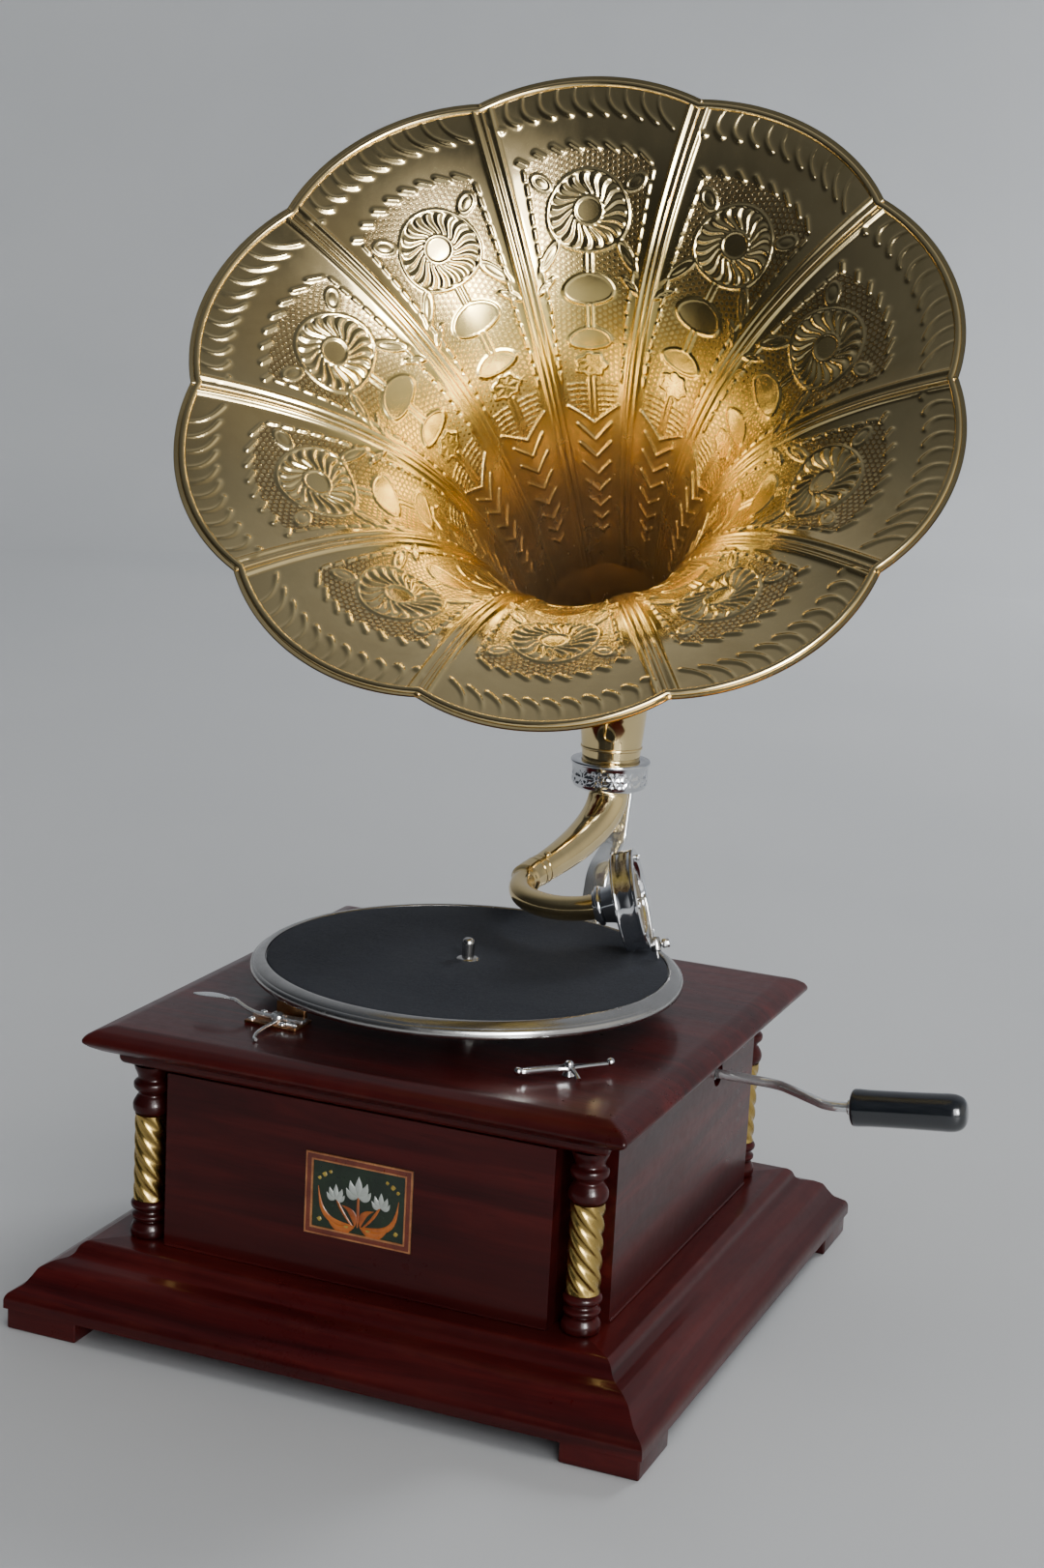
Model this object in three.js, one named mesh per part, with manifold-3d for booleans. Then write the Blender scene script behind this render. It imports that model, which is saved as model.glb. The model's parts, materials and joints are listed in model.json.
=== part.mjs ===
// A table gramophone: a square mahogany cabinet with a spring motor inside, a felt-topped turntable,
// a swinging tone arm with a sound box, a winding crank, and a ten-petal brass horn on a back bracket.
// Millimetres, +Z up. The front of the cabinet faces -Y and the crank comes out of the +X side.
// The origin is under the middle of the whole object's box, on the surface that the feet stand on.
import * as THREE from 'three';
import { mergeVertices } from 'three/addons/utils/BufferGeometryUtils.js';
import Module from 'manifold-3d';

const wasm = await Module();
wasm.setup();

// Clearances
const seat_gap = 0.3;
const cut_overrun = 2;

// Cabinet
const body_half = 141;
const base_reach = 48;
const base_lap = 15;
const foot_height = 12;
const foot_size = 44;
const foot_inset = 1.5;
const base_height = 35;
const body_height = 101;
const panel_wall = 10;
const notch_size = 25.5;
const bottom_board_height = 8;
const lid_height = 24;
const lid_overhang = 19;
const lid_rebate = 2.4;
const spindle_hole_radius = 7;

// Corner columns
const column_radius = 10.5;
const column_corner_inset = 10;
const sleeve_radius = 9.5;
const sleeve_bore_radius = 7.4;
const sleeve_bottom = 22.4;
const sleeve_height = 50;
const sleeve_flutes = 6;

// Turntable
const platter_radius = 125.2;
const felt_radius = 116;
const felt_wall = 1.2;
const platter_wall = 2;
const felt_top_height = 25;
const platter_drop = 8.6;
const hub_radius = 16;
const hub_height = 15;
const spindle_radius = 3.6;
const spindle_rise = 12.5;

// Winding crank
const crank_y = 48;
const crank_drop = 10;
const crank_rod_radius = 2.9;
const crank_straight = 37;
const crank_arm_run = 40;
const crank_throw = 42;
const crank_angle = 170;
const crank_tail = 14;
const grip_length = 64;
const grip_radius = 10.6;
const grip_bore_radius = 3.3;
const grip_rise_angle = 6;
const grip_back_angle = 4;
const crank_hole_radius = 7.6;
const bush_flange_radius = 10.5;
const bush_flange_wall = 1.5;
const winding_shaft_radius = 4;

// Horn bracket and the socket that holds the horn and the tone arm
const pivot_x = 7;
const pivot_y = 200;
const socket_rise = 89.5;
const socket_height = 19.5;
const socket_radius = 24;
const socket_lip = 1.6;
const bracket_width = 15;
const bracket_wall = 5;
const bracket_plate_lift = 15;
const bracket_bolt_radius = 4.2;

// Horn
const horn_petals = 10;
const horn_azimuth = 12.2;
const horn_tilt = 40.1;
const horn_phase = 112.9;
const rim_radius = 203;
const rim_bulge = 9;
const bell_depth = 236;
const bell_flare = 86;
const bell_power_share = 1.287;
const horn_wall = 1;
const rim_bead = 3.2;
const seam_gap = 0.35;
const seam_ridge_height = 1.5;
const seam_ridge_inset = 4.6;
const seam_ridge_width = 2.6;
const elbow_radius = 60;
const elbow_rise = 15;
const elbow_throat = 64;
const neck_radius = 18.4;
const neck_insert = 13;

// Tone arm and sound box
const arm_radius = 12.8;
const arm_end_radius = 8.8;
const arm_wall = 1.2;
const arm_drop = 45.5;
const arm_forward = 87;
const arm_side = 13.2;
const arm_bend_start = 1.5;
const arm_bend_reach = 21;
const arm_end_reach = 36;
const joint_turn_angle = 14.1;
const joint_dip_angle = 9.8;
const gooseneck_radius = 7.4;
const gooseneck_collar_radius = 9.7;
const gooseneck_start_reach = 40;
const gooseneck_end_reach = 28;
const needle_x = 96.6;
const needle_y = 57.3;
const box_turn_angle = 16;
const box_lean_angle = 15;
const needle_drop = 34.7;
const needle_trail = 14;
const box_radius = 30;
const box_depth = 14;
const box_face_radius = 23;
const box_rim_wall = 3;
const box_flange_wall = 1.5;
const box_socket_length = 15;
const box_socket_insert = 9;
const box_socket_radius = 9.6;
const box_socket_flare_radius = 13;
const diaphragm_wall = 0.8;
const stylus_width = 4;
const stylus_wall = 2.4;
const chuck_radius = 3;
const chuck_length = 9;
const needle_radius = 0.9;
const needle_rise = 9;
const thumb_screw_radius = 2.6;
const thumb_screw_length = 6;

// Levers on the lid
const brake_x = -72;
const brake_y = -96;
const brake_reach = 25;
const brake_tab_length = 27;
const brake_tab_width = 8;
const brake_tab_rise = 7;
const lever_width = 3.4;
const lever_wall = 2.2;
const lever_pin_radius = 2.4;
const lever_pin_depth = 9;
const brake_plate_length = 32;
const brake_plate_width = 20;
const brake_plate_wall = 2;
const brake_post_length = 18;
const brake_post_height = 11;
const speed_x = 102;
const speed_y = -94;
const speed_reach_front = 30;
const speed_reach_back = 25;
const speed_angle = 46;
const speed_post_radius = 3.6;
const speed_post_height = 3;
const lever_knob_radius = 2.4;

// Spring motor under the lid
const frame_wall = 3;
const frame_depth = 60;
const frame_left = -76;
const frame_right = 68;
const frame_front = -42;
const frame_back = 90;
const pillar_radius = 4;
const pillar_inset = 7;
const barrel_x = -34;
const barrel_radius = 33;
const barrel_height = 26;
const barrel_lift = 8;
const barrel_wall = 1.6;
const barrel_gear_wall = 4;
const barrel_teeth = 48;
const barrel_module = 1.5;
const spring_turns = 7;
const spring_wall = 1.2;
const arbor_radius = 4;
const winding_wheel_wall = 4;
const winding_wheel_teeth = 30;
const winding_wheel_module = 1.2;
const winding_pinion_teeth = 12;
const winding_pinion_wall = 9;
const intermediate_pinion_teeth = 8;
const intermediate_wheel_teeth = 30;
const intermediate_module = 1.2;
const intermediate_wall = 3;
const intermediate_lift = 1.5;
const spindle_pinion_teeth = 10;
const spindle_pinion_wall = 6;
const small_arbor_radius = 2.5;
const worm_wheel_teeth = 28;
const worm_wheel_module = 1;
const worm_wheel_wall = 5;
const worm_wheel_lift = 22;
const worm_radius = 3.2;
const worm_starts = 2;
const worm_thread_depth = 0.9;
const worm_length = 16;
const governor_left = -60;
const governor_right = 30;
const governor_shaft_radius = 2;
const governor_ball_radius = 4.5;
const governor_ball_offset = 9;
const governor_ball_x = -35;
const governor_spread = 15;
const governor_disc_radius = 9;
const governor_disc_wall = 1.6;
const governor_strip_width = 4;
const governor_strip_wall = 1;
const governor_balls = 3;
const lug_wall = 4;
const lug_width = 12;
const shaft_lug_near_x = 4;
const shaft_lug_far_x = 58;

// Smoothness of the round pieces, in sides
const fine_sides = 48;
const round_sides = 24;
const tube_sides = 14;
const small_sides = 12;

// Outlines, as shares of the sizes that they follow
// Base moulding, [outwards from the body, up from the feet]
const base_outline_shares = [[1, 0], [1, 0.16], [0.97, 0.25], [0.92, 0.29], [0.83, 0.37], [0.765, 0.5],
  [0.71, 0.63], [0.6, 0.71], [0.46, 0.755], [0.41, 0.81], [0.375, 0.93], [0.31, 1]];
// Lid edge, [outwards from the lowest step to the nose, up from the underside]
const lid_outline_shares = [[0, 0], [0.12, 0.06], [0.25, 0.1], [0.3, 0.2], [0.3, 0.32], [0.62, 0.4],
  [0.88, 0.53], [1, 0.63], [1, 0.7], [0.93, 0.8], [0.74, 0.91], [0.46, 0.985], [0.36, 1]];
// Column below and above its sleeve, [radius, height], heights as shares of the plain stretch there
const column_foot_shares = [[0.8, 0], [0.97, 0.05], [1, 0.22], [0.84, 0.38], [0.69, 0.43], [0.92, 0.5],
  [0.94, 0.58], [0.78, 0.66], [0.77, 0.72], [0.97, 0.79], [0.98, 0.9], [0.82, 1]];
const column_head_shares = [[0.82, 0], [0.97, 0.07], [1, 0.2], [0.83, 0.33], [0.7, 0.4], [0.8, 0.46],
  [0.96, 0.53], [0.96, 0.63], [0.77, 0.71], [0.8, 0.8], [0.93, 0.92], [0.98, 1]];
const gear_addendum_share = 0.7;
const gear_dedendum_share = 1.05;
const gear_root_share = 0.3;
const gear_tip_share = 0.13;

// Heights and places that follow from the sizes
const quarter_turn = Math.PI / 2;
const degree = Math.PI / 180;
const base_half = body_half + base_reach;
const base_inner_half = body_half - base_lap;
const base_top = foot_height + base_height;
const lid_half = body_half + lid_overhang;
const lid_step_half = body_half - lid_rebate;
const body_top = base_top + body_height;
const lid_top = body_top + lid_height;
const felt_top = lid_top + felt_top_height;
const crank_height = body_top - crank_drop;
const socket_bottom = lid_top + socket_rise;
const bracket_plate_bottom = base_top + bracket_plate_lift;
const column_centre = body_half - column_corner_inset;
const notch_half = body_half - notch_size;
const pivot = new THREE.Vector3(pivot_x, pivot_y, socket_bottom);
const up = new THREE.Vector3(0, 0, 1);
const frame_top = body_top - seat_gap;
const frame_floor = frame_top - frame_depth;
const plate_bottom = frame_top - frame_wall;

const mahogany = new THREE.MeshStandardMaterial({ color: 0x3b0d0c, roughness: 0.25, metalness: 0 });
const brass = new THREE.MeshStandardMaterial({ color: 0xc39a45, roughness: 0.2, metalness: 1 });
const chrome = new THREE.MeshStandardMaterial({ color: 0xc9ccd0, roughness: 0.15, metalness: 1 });
const steel = new THREE.MeshStandardMaterial({ color: 0x8d9094, roughness: 0.4, metalness: 1 });
const felt_cloth = new THREE.MeshStandardMaterial({ color: 0x23262e, roughness: 0.95, metalness: 0 });
const black_gloss = new THREE.MeshStandardMaterial({ color: 0x0b0b0d, roughness: 0.15, metalness: 0 });
const mica = new THREE.MeshStandardMaterial({ color: 0xcfc7b0, roughness: 0.3, metalness: 0 });

const gramophone = new THREE.Group();

function addPiece(name, geometry, material, parent = gramophone) {
  const piece = new THREE.Mesh(geometry, material.clone());
  piece.name = name;
  parent.add(piece);
  return piece;
}

// Keeps the corners alone, merges shared ones, drops empty faces and turns the skin to face out.
function closedSkin(geometry) {
  const loose = geometry.index ? geometry.toNonIndexed() : geometry;
  const bare = new THREE.BufferGeometry();
  bare.setAttribute('position', loose.getAttribute('position'));
  const merged = mergeVertices(bare);
  const places = merged.getAttribute('position');
  const corner = (index) => new THREE.Vector3().fromBufferAttribute(places, index);
  const faces = [];
  let volume = 0;
  for (let i = 0; i < merged.index.count; i += 3) {
    const [a, b, c] = [0, 1, 2].map((k) => merged.index.getX(i + k));
    if (a === b || b === c || c === a) continue;
    faces.push([a, b, c]);
    volume += corner(a).dot(corner(b).cross(corner(c)));
  }
  merged.setIndex(faces.flatMap(([a, b, c]) => (volume < 0 ? [a, c, b] : [a, b, c])));
  return merged;
}

function toSolid(geometry) {
  const skin = closedSkin(geometry);
  return new wasm.Manifold(new wasm.Mesh({
    numProp: 3,
    vertProperties: skin.getAttribute('position').array,
    triVerts: new Uint32Array(skin.index.array),
  }));
}

function fromSolid(solid) {
  const mesh = solid.getMesh();
  const geometry = new THREE.BufferGeometry();
  geometry.setAttribute('position', new THREE.BufferAttribute(mesh.vertProperties.slice(), 3));
  geometry.setIndex(new THREE.BufferAttribute(mesh.triVerts.slice(), 1));
  return geometry;
}

function cut(geometry, ...tools) {
  return fromSolid(tools.reduce((left, tool) => left.subtract(toSolid(tool)), toSolid(geometry)));
}

function join(first, ...others) {
  return fromSolid(others.reduce((whole, other) => whole.add(toSolid(other)), toSolid(first)));
}

// A box between two opposite corners.
function block(low, high) {
  const size = high.map((value, axis) => value - low[axis]);
  const box = new THREE.BoxGeometry(...size);
  box.translate(...low.map((value, axis) => value + size[axis] / 2));
  return closedSkin(box);
}

// A round piece about the Z axis from [radius, height] corners.
function turned(profile, sides) {
  const lathe = new THREE.LatheGeometry(profile.map(([r, z]) => new THREE.Vector2(r, z)), sides);
  lathe.rotateX(quarter_turn);
  return closedSkin(lathe);
}

function rod(radius, from, to, sides = small_sides) {
  return turned([[0, from], [radius, from], [radius, to], [0, to]], sides);
}

function ring(inner, outer, from, to, sides = round_sides) {
  return turned([[inner, from], [outer, from], [outer, to], [inner, to], [inner, from]], sides);
}

// A flat outline of [x, y] corners raised from one height to another.
function prism(outline, from, to) {
  const shape = new THREE.Shape(outline.map(([x, y]) => new THREE.Vector2(x, y)));
  const raised = new THREE.ExtrudeGeometry(shape, { depth: to - from, bevelEnabled: false });
  raised.translate(0, 0, from);
  return closedSkin(raised);
}

// The triangles that close one ring of corners, counted from the ring's first index.
function capFaces(corners, start) {
  const normal = new THREE.Vector3();
  corners.forEach((corner, i) => {
    normal.add(corner.clone().cross(corners[(i + 1) % corners.length]));
  });
  normal.normalize();
  const across = corners[1].clone().sub(corners[0]).normalize();
  const along = normal.clone().cross(across);
  const flat = corners.map((corner) => new THREE.Vector2(corner.dot(across), corner.dot(along)));
  return THREE.ShapeUtils.triangulateShape(flat, []).map((face) => face.map((k) => start + k));
}

function stripFaces(count, start) {
  const faces = [];
  for (let j = 0; j < count / 2 - 1; j += 1) {
    const far = count - 1 - j;
    faces.push([start + j, start + j + 1, start + far - 1], [start + j, start + far - 1, start + far]);
  }
  return faces;
}

// One closed skin over a row of rings with the same number of corners.
// A looped row closes on itself, as a hollow tube does, and a strip's ends are thin bands.
function loft(rings, ends = 'capped') {
  const count = rings[0].length;
  const spans = ends === 'looped' ? rings.length : rings.length - 1;
  const faces = [];
  for (let i = 0; i < spans; i += 1) {
    for (let j = 0; j < count; j += 1) {
      const [here, next] = [i * count, ((i + 1) % rings.length) * count];
      const k = (j + 1) % count;
      faces.push([here + j, here + k, next + k], [here + j, next + k, next + j]);
    }
  }
  if (ends !== 'looped') {
    const last = (rings.length - 1) * count;
    const close = ends === 'strip' ? (_, start) => stripFaces(count, start) : capFaces;
    faces.push(...close(rings[0], 0).map(([a, b, c]) => [a, c, b]));
    faces.push(...close(rings[rings.length - 1], last));
  }
  const geometry = new THREE.BufferGeometry().setFromPoints(rings.flat());
  geometry.setIndex(faces.flat());
  return closedSkin(geometry);
}

// Rings of corners round a curve, with a radius that may change along it.
function ringsAlong(curve, steps, sides, radiusAt) {
  const frames = curve.computeFrenetFrames(steps, false);
  return Array.from({ length: steps + 1 }, (_, i) => {
    const centre = curve.getPointAt(i / steps);
    return Array.from({ length: sides }, (__, j) => {
      const angle = (2 * Math.PI * j) / sides;
      const radius = radiusAt(i / steps);
      return centre.clone()
        .addScaledVector(frames.normals[i], radius * Math.cos(angle))
        .addScaledVector(frames.binormals[i], radius * Math.sin(angle));
    });
  });
}

function hollowTube(curve, steps, sides, radiusAt, wall) {
  const outer = ringsAlong(curve, steps, sides, radiusAt);
  const inner = ringsAlong(curve, steps, sides, (share) => radiusAt(share) - wall);
  return loft([...outer, ...inner.reverse()], 'looped');
}

// A straight-toothed gear outline. A tooth points along the phase angle.
function gearOutline(teeth, module, phase) {
  const pitch = (2 * Math.PI) / teeth;
  const root = module * (teeth / 2 - gear_dedendum_share);
  const tip = module * (teeth / 2 + gear_addendum_share);
  const corners = [[root, -gear_root_share], [tip, -gear_tip_share], [tip, gear_tip_share],
    [root, gear_root_share]];
  return Array.from({ length: teeth }, (_, tooth) => corners.map(([radius, share]) => {
    const angle = phase + (tooth + share) * pitch;
    return [radius * Math.cos(angle), radius * Math.sin(angle)];
  })).flat();
}

// Base: four mitred moulding rails, a bottom board between them and a foot under each corner.
function buildBase() {
  const outline = base_outline_shares
    .map(([out, rise]) => [body_half + out * base_reach, foot_height + rise * base_height]);
  outline.push([base_inner_half, base_top], [base_inner_half, foot_height]);
  const ends = [-1, 1].map((side) => outline.map(([half, z]) => new THREE.Vector3(side * half, -half, z)));
  const rail = loft(ends);
  ['front', 'right', 'back', 'left'].forEach((side, turn) => {
    addPiece(`base_rail_${side}`, rail, mahogany).rotation.z = turn * quarter_turn;
  });
  const board_half = base_inner_half - seat_gap;
  addPiece('bottom_board', block([-board_half, -board_half, foot_height],
    [board_half, board_half, foot_height + bottom_board_height]), mahogany);
  const outside = base_half - foot_inset;
  const inside = outside - foot_size;
  const foot = block([inside, -outside, 0], [outside, -inside, foot_height]);
  ['front_right', 'back_right', 'back_left', 'front_left'].forEach((corner, turn) => {
    addPiece(`foot_${corner}`, foot, mahogany).rotation.z = turn * quarter_turn;
  });
}

// Body: plain front and back boards between two side boards that carry the corner recesses.
function buildBody() {
  const inner = body_half - panel_wall;
  const recess_inner = notch_half - panel_wall;
  const board_end = inner - seat_gap;
  const board_half = notch_half;
  const board = block([-board_half, -body_half, base_top], [board_half, -inner, body_top]);
  addPiece('front_panel', board, mahogany);
  addPiece('back_panel', board, mahogany).rotation.z = 2 * quarter_turn;
  const half_outline = [[body_half, notch_half], [notch_half, notch_half], [notch_half, board_end],
    [recess_inner, board_end], [recess_inner, recess_inner], [inner, recess_inner]];
  const mirrored = half_outline.map(([x, y]) => [x, -y]).reverse();
  const side_board = prism([...half_outline, ...mirrored], base_top, body_top);
  const crank_hole = rod(crank_hole_radius, inner - cut_overrun, body_half + cut_overrun, round_sides);
  crank_hole.rotateY(quarter_turn);
  crank_hole.translate(0, crank_y, crank_height);
  addPiece('right_panel', cut(side_board, crank_hole), mahogany);
  addPiece('left_panel', side_board, mahogany).rotation.z = 2 * quarter_turn;
}

// Lid: one moulded top with holes for the spindle and for the pins of the two levers.
function buildLid() {
  const reach = lid_half - lid_step_half;
  const rings = lid_outline_shares.map(([out, rise]) => {
    const half = lid_step_half + out * reach;
    const z = body_top + rise * lid_height;
    return [[-half, -half], [half, -half], [half, half], [-half, half]]
      .map(([x, y]) => new THREE.Vector3(x, y, z));
  });
  const spindle_hole = rod(spindle_hole_radius, body_top - cut_overrun, lid_top + cut_overrun, round_sides);
  const pin_holes = [[brake_x, brake_y], [speed_x, speed_y]].map(([x, y]) => {
    const hole = rod(lever_pin_radius + seat_gap, lid_top - lever_pin_depth, lid_top + cut_overrun);
    return hole.translate(x, y, 0);
  });
  addPiece('lid', cut(loft(rings), spindle_hole, ...pin_holes), mahogany);
}

// Columns: a turned wooden core that stands in each corner recess, with a spirally fluted sleeve round it.
function buildColumns() {
  const core = sleeve_bore_radius - seat_gap;
  const sleeve_top = sleeve_bottom + sleeve_height;
  const head_height = body_height - sleeve_top;
  const foot_profile = column_foot_shares
    .map(([r, z]) => [r * column_radius, z * (sleeve_bottom - seat_gap)]);
  const head_profile = column_head_shares
    .map(([r, z]) => [r * column_radius, sleeve_top + seat_gap + z * (head_height - seat_gap)]);
  const profile = [[0, 0], ...foot_profile, [core, sleeve_bottom - seat_gap], [core, sleeve_top + seat_gap],
    ...head_profile, [0, body_height]];
  const column = turned(profile, small_sides);
  const steps = 10;
  const twist = -sleeve_height / sleeve_radius;
  const ringAt = (step, radiusOf) => Array.from({ length: 2 * sleeve_flutes }, (_, j) => {
    const angle = (Math.PI * j) / sleeve_flutes + (twist * step) / steps;
    const z = sleeve_bottom + (sleeve_height * step) / steps;
    return new THREE.Vector3(radiusOf(j) * Math.cos(angle), radiusOf(j) * Math.sin(angle), z);
  });
  const flute_depth = (sleeve_radius - sleeve_bore_radius) / 3;
  const outer = Array.from({ length: steps + 1 },
    (_, step) => ringAt(step, (j) => sleeve_radius - (j % 2) * flute_depth));
  const sleeve = cut(loft(outer),
    rod(sleeve_bore_radius, sleeve_bottom - cut_overrun, sleeve_top + cut_overrun, round_sides));
  ['front_right', 'back_right', 'back_left', 'front_left'].forEach((corner, turn) => {
    const stand = new THREE.Group();
    stand.rotation.z = turn * quarter_turn;
    const place = new THREE.Group();
    place.position.set(column_centre, -column_centre, base_top);
    stand.add(place);
    gramophone.add(stand);
    addPiece(`column_${corner}`, column, mahogany, place);
    addPiece(`sleeve_${corner}`, sleeve, brass, place);
  });
}

// Turntable: a pressed platter with a sloped rim, the felt on it and the spindle that carries it.
function buildTurntable() {
  const bore = spindle_radius + seat_gap;
  const disc_top = felt_top - felt_wall - seat_gap;
  const disc_bottom = disc_top - platter_wall;
  const rim_bottom = felt_top - platter_drop;
  const lip = felt_radius + 2 * seat_gap;
  const rim_width = platter_radius - lip;
  const hub_bottom = disc_bottom - hub_height;
  const platter = turned([[bore, disc_top], [lip, disc_top], [lip + 0.1 * rim_width, felt_top],
    [lip + 0.3 * rim_width, felt_top + 0.05 * platter_drop],
    [lip + 0.75 * rim_width, felt_top - 0.22 * platter_drop],
    [platter_radius, felt_top - 0.6 * platter_drop], [platter_radius, rim_bottom + 0.1 * platter_drop],
    [platter_radius - 0.12 * rim_width, rim_bottom],
    [platter_radius - 0.25 * rim_width, rim_bottom + 0.2 * platter_drop],
    [lip + 0.5 * rim_width, felt_top - 0.45 * platter_drop], [lip, disc_bottom], [hub_radius, disc_bottom],
    [2 * spindle_radius, hub_bottom + hub_height / 2], [2 * spindle_radius, hub_bottom], [bore, hub_bottom],
    [bore, disc_top]], fine_sides);
  addPiece('platter', platter, chrome);
  addPiece('felt', ring(bore, felt_radius, disc_top + seat_gap, felt_top, fine_sides), felt_cloth);
  const shaft_bottom = frame_floor + frame_wall + seat_gap;
  const top = felt_top + spindle_rise;
  const shaft = turned([[0, shaft_bottom], [spindle_radius, shaft_bottom],
    [spindle_radius, hub_bottom - 3 * seat_gap],
    [1.6 * spindle_radius, hub_bottom - 3 * seat_gap], [1.6 * spindle_radius, hub_bottom - seat_gap],
    [spindle_radius, hub_bottom - seat_gap], [spindle_radius, top - spindle_radius],
    [0.75 * spindle_radius, top - 0.3 * spindle_radius], [0, top]], small_sides);
  const toward = Math.atan2(intermediatePlace()[1], intermediatePlace()[0]);
  const pinion_phase = toward + Math.PI / spindle_pinion_teeth;
  const pinion_bottom = shaft_bottom + seat_gap;
  const pinion = prism(gearOutline(spindle_pinion_teeth, intermediate_module, pinion_phase),
    pinion_bottom, pinion_bottom + spindle_pinion_wall);
  const wheel_bottom = shaft_bottom + worm_wheel_lift;
  const worm_wheel = prism(gearOutline(worm_wheel_teeth, worm_wheel_module, quarter_turn),
    wheel_bottom, wheel_bottom + worm_wheel_wall);
  addPiece('spindle', join(shaft, pinion, worm_wheel), steel);
}

// The intermediate arbor stands where its pinion meets the barrel's gear and its wheel the spindle's pinion.
function intermediatePlace() {
  const to_barrel = (barrel_module * (barrel_teeth + intermediate_pinion_teeth)) / 2;
  const to_spindle = (intermediate_module * (intermediate_wheel_teeth + spindle_pinion_teeth)) / 2;
  const span = Math.hypot(barrel_x, crank_y);
  const along = (to_barrel ** 2 - to_spindle ** 2 + span ** 2) / (2 * span);
  const aside = Math.sqrt(to_barrel ** 2 - along ** 2);
  const [ux, uy] = [-barrel_x / span, -crank_y / span];
  return [barrel_x + ux * along - uy * aside, crank_y + uy * along + ux * aside];
}

// Spring motor: frame, barrel with its gear, mainspring, arbor, winding gears, intermediate wheel
// and governor.
function buildMotor() {
  const floor_top = frame_floor + frame_wall;
  const shaft_z = crank_height;
  const pinion_radius = winding_wheel_module * (winding_pinion_teeth / 2 + gear_addendum_share);
  const wheel_top = shaft_z - pinion_radius - 2 * seat_gap;
  const wheel_radius = winding_wheel_module * (winding_wheel_teeth / 2 + gear_addendum_share);
  const [wheel_x, wheel_y] = intermediatePlace();
  const barrel_bottom = floor_top + barrel_lift;
  const worm_z = floor_top + seat_gap + worm_wheel_lift + worm_wheel_wall / 2;
  const worm_y = -(worm_wheel_module * (worm_wheel_teeth / 2 + gear_addendum_share) + worm_radius
    + 2 * seat_gap);

  const plates = [[frame_floor, floor_top], [plate_bottom, frame_top]].map(([low, high]) => (
    block([frame_left, frame_front, low], [frame_right, frame_back, high])));
  const pillars = [frame_left + pillar_inset, frame_right - pillar_inset].flatMap((x) => (
    [frame_front + pillar_inset, frame_back - pillar_inset].map((y) => (
      rod(pillar_radius, floor_top - cut_overrun, plate_bottom + cut_overrun).translate(x, y, 0)))));
  const governor_lugs = [governor_left - lug_wall, governor_right].map((x) => (
    block([x, worm_y - lug_width / 2, worm_z - lug_width / 2],
      [x + lug_wall, worm_y + lug_width / 2, frame_top - seat_gap])));
  const shaft_lugs = [shaft_lug_near_x, shaft_lug_far_x].map((x) => (
    block([x, crank_y - lug_width / 2, shaft_z - lug_width / 2],
      [x + lug_wall, crank_y + lug_width / 2, frame_top - seat_gap])));
  const shaft_bore = rod(winding_shaft_radius + seat_gap, 0, frame_right, round_sides);
  shaft_bore.rotateY(quarter_turn);
  shaft_bore.translate(0, crank_y, shaft_z);
  const arbor_holes = [[0, 0, spindle_radius], [barrel_x, crank_y, arbor_radius],
    [wheel_x, wheel_y, small_arbor_radius]]
    .map(([x, y, radius]) => rod(radius + seat_gap, plate_bottom - cut_overrun, frame_top + cut_overrun,
      round_sides).translate(x, y, 0));
  const window_x = barrel_x + wheel_radius - winding_pinion_wall / 2;
  const window = block([window_x - winding_pinion_wall, crank_y - pinion_radius - cut_overrun,
    plate_bottom - cut_overrun],
    [window_x + winding_pinion_wall, crank_y + pinion_radius + cut_overrun, frame_top + cut_overrun]);
  const whole = join(...plates, ...pillars, ...governor_lugs, ...shaft_lugs);
  addPiece('motor_frame', cut(whole, shaft_bore, ...arbor_holes, window), steel);

  const barrel_place = new THREE.Group();
  barrel_place.position.set(barrel_x, crank_y, barrel_bottom);
  gramophone.add(barrel_place);
  const toward_wheel = Math.atan2(wheel_y - crank_y, wheel_x - barrel_x);
  const gear_bore = arbor_radius + seat_gap;
  const gear = cut(prism(gearOutline(barrel_teeth, barrel_module, toward_wheel), 0, barrel_gear_wall),
    rod(gear_bore, -cut_overrun, barrel_gear_wall + cut_overrun, round_sides));
  const cup = turned([[gear_bore, barrel_gear_wall / 2], [barrel_radius, barrel_gear_wall / 2],
    [barrel_radius, barrel_height],
    [barrel_radius - barrel_wall, barrel_height], [barrel_radius - barrel_wall, barrel_gear_wall],
    [gear_bore, barrel_gear_wall], [gear_bore, barrel_gear_wall / 2]], round_sides);
  addPiece('spring_barrel', join(gear, cup), steel, barrel_place);

  const coil_inner = arbor_radius + 2 * seat_gap;
  const coil_outer = barrel_radius - barrel_wall - spring_wall - seat_gap;
  const coil_steps = spring_turns * small_sides;
  const coil = Array.from({ length: coil_steps + 1 }, (_, i) => {
    const angle = (2 * Math.PI * spring_turns * i) / coil_steps;
    const radius = coil_inner + ((coil_outer - coil_inner) * i) / coil_steps;
    return [radius, radius + spring_wall].map((r) => [r * Math.cos(angle), r * Math.sin(angle)]);
  });
  const coil_outline = [...coil.map((pair) => pair[0]), ...coil.map((pair) => pair[1]).reverse()];
  addPiece('mainspring', prism(coil_outline, barrel_gear_wall + seat_gap, barrel_height - barrel_wall),
    steel, barrel_place);

  const arbor = rod(arbor_radius, floor_top + seat_gap, frame_top - seat_gap, small_sides);
  const wheel_bottom = wheel_top - winding_wheel_wall;
  const winding_wheel = prism(gearOutline(winding_wheel_teeth, winding_wheel_module, 0),
    wheel_bottom, wheel_top);
  const arbor_place = addPiece('barrel_arbor', join(arbor, winding_wheel), steel);
  arbor_place.position.set(barrel_x, crank_y, 0);

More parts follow.
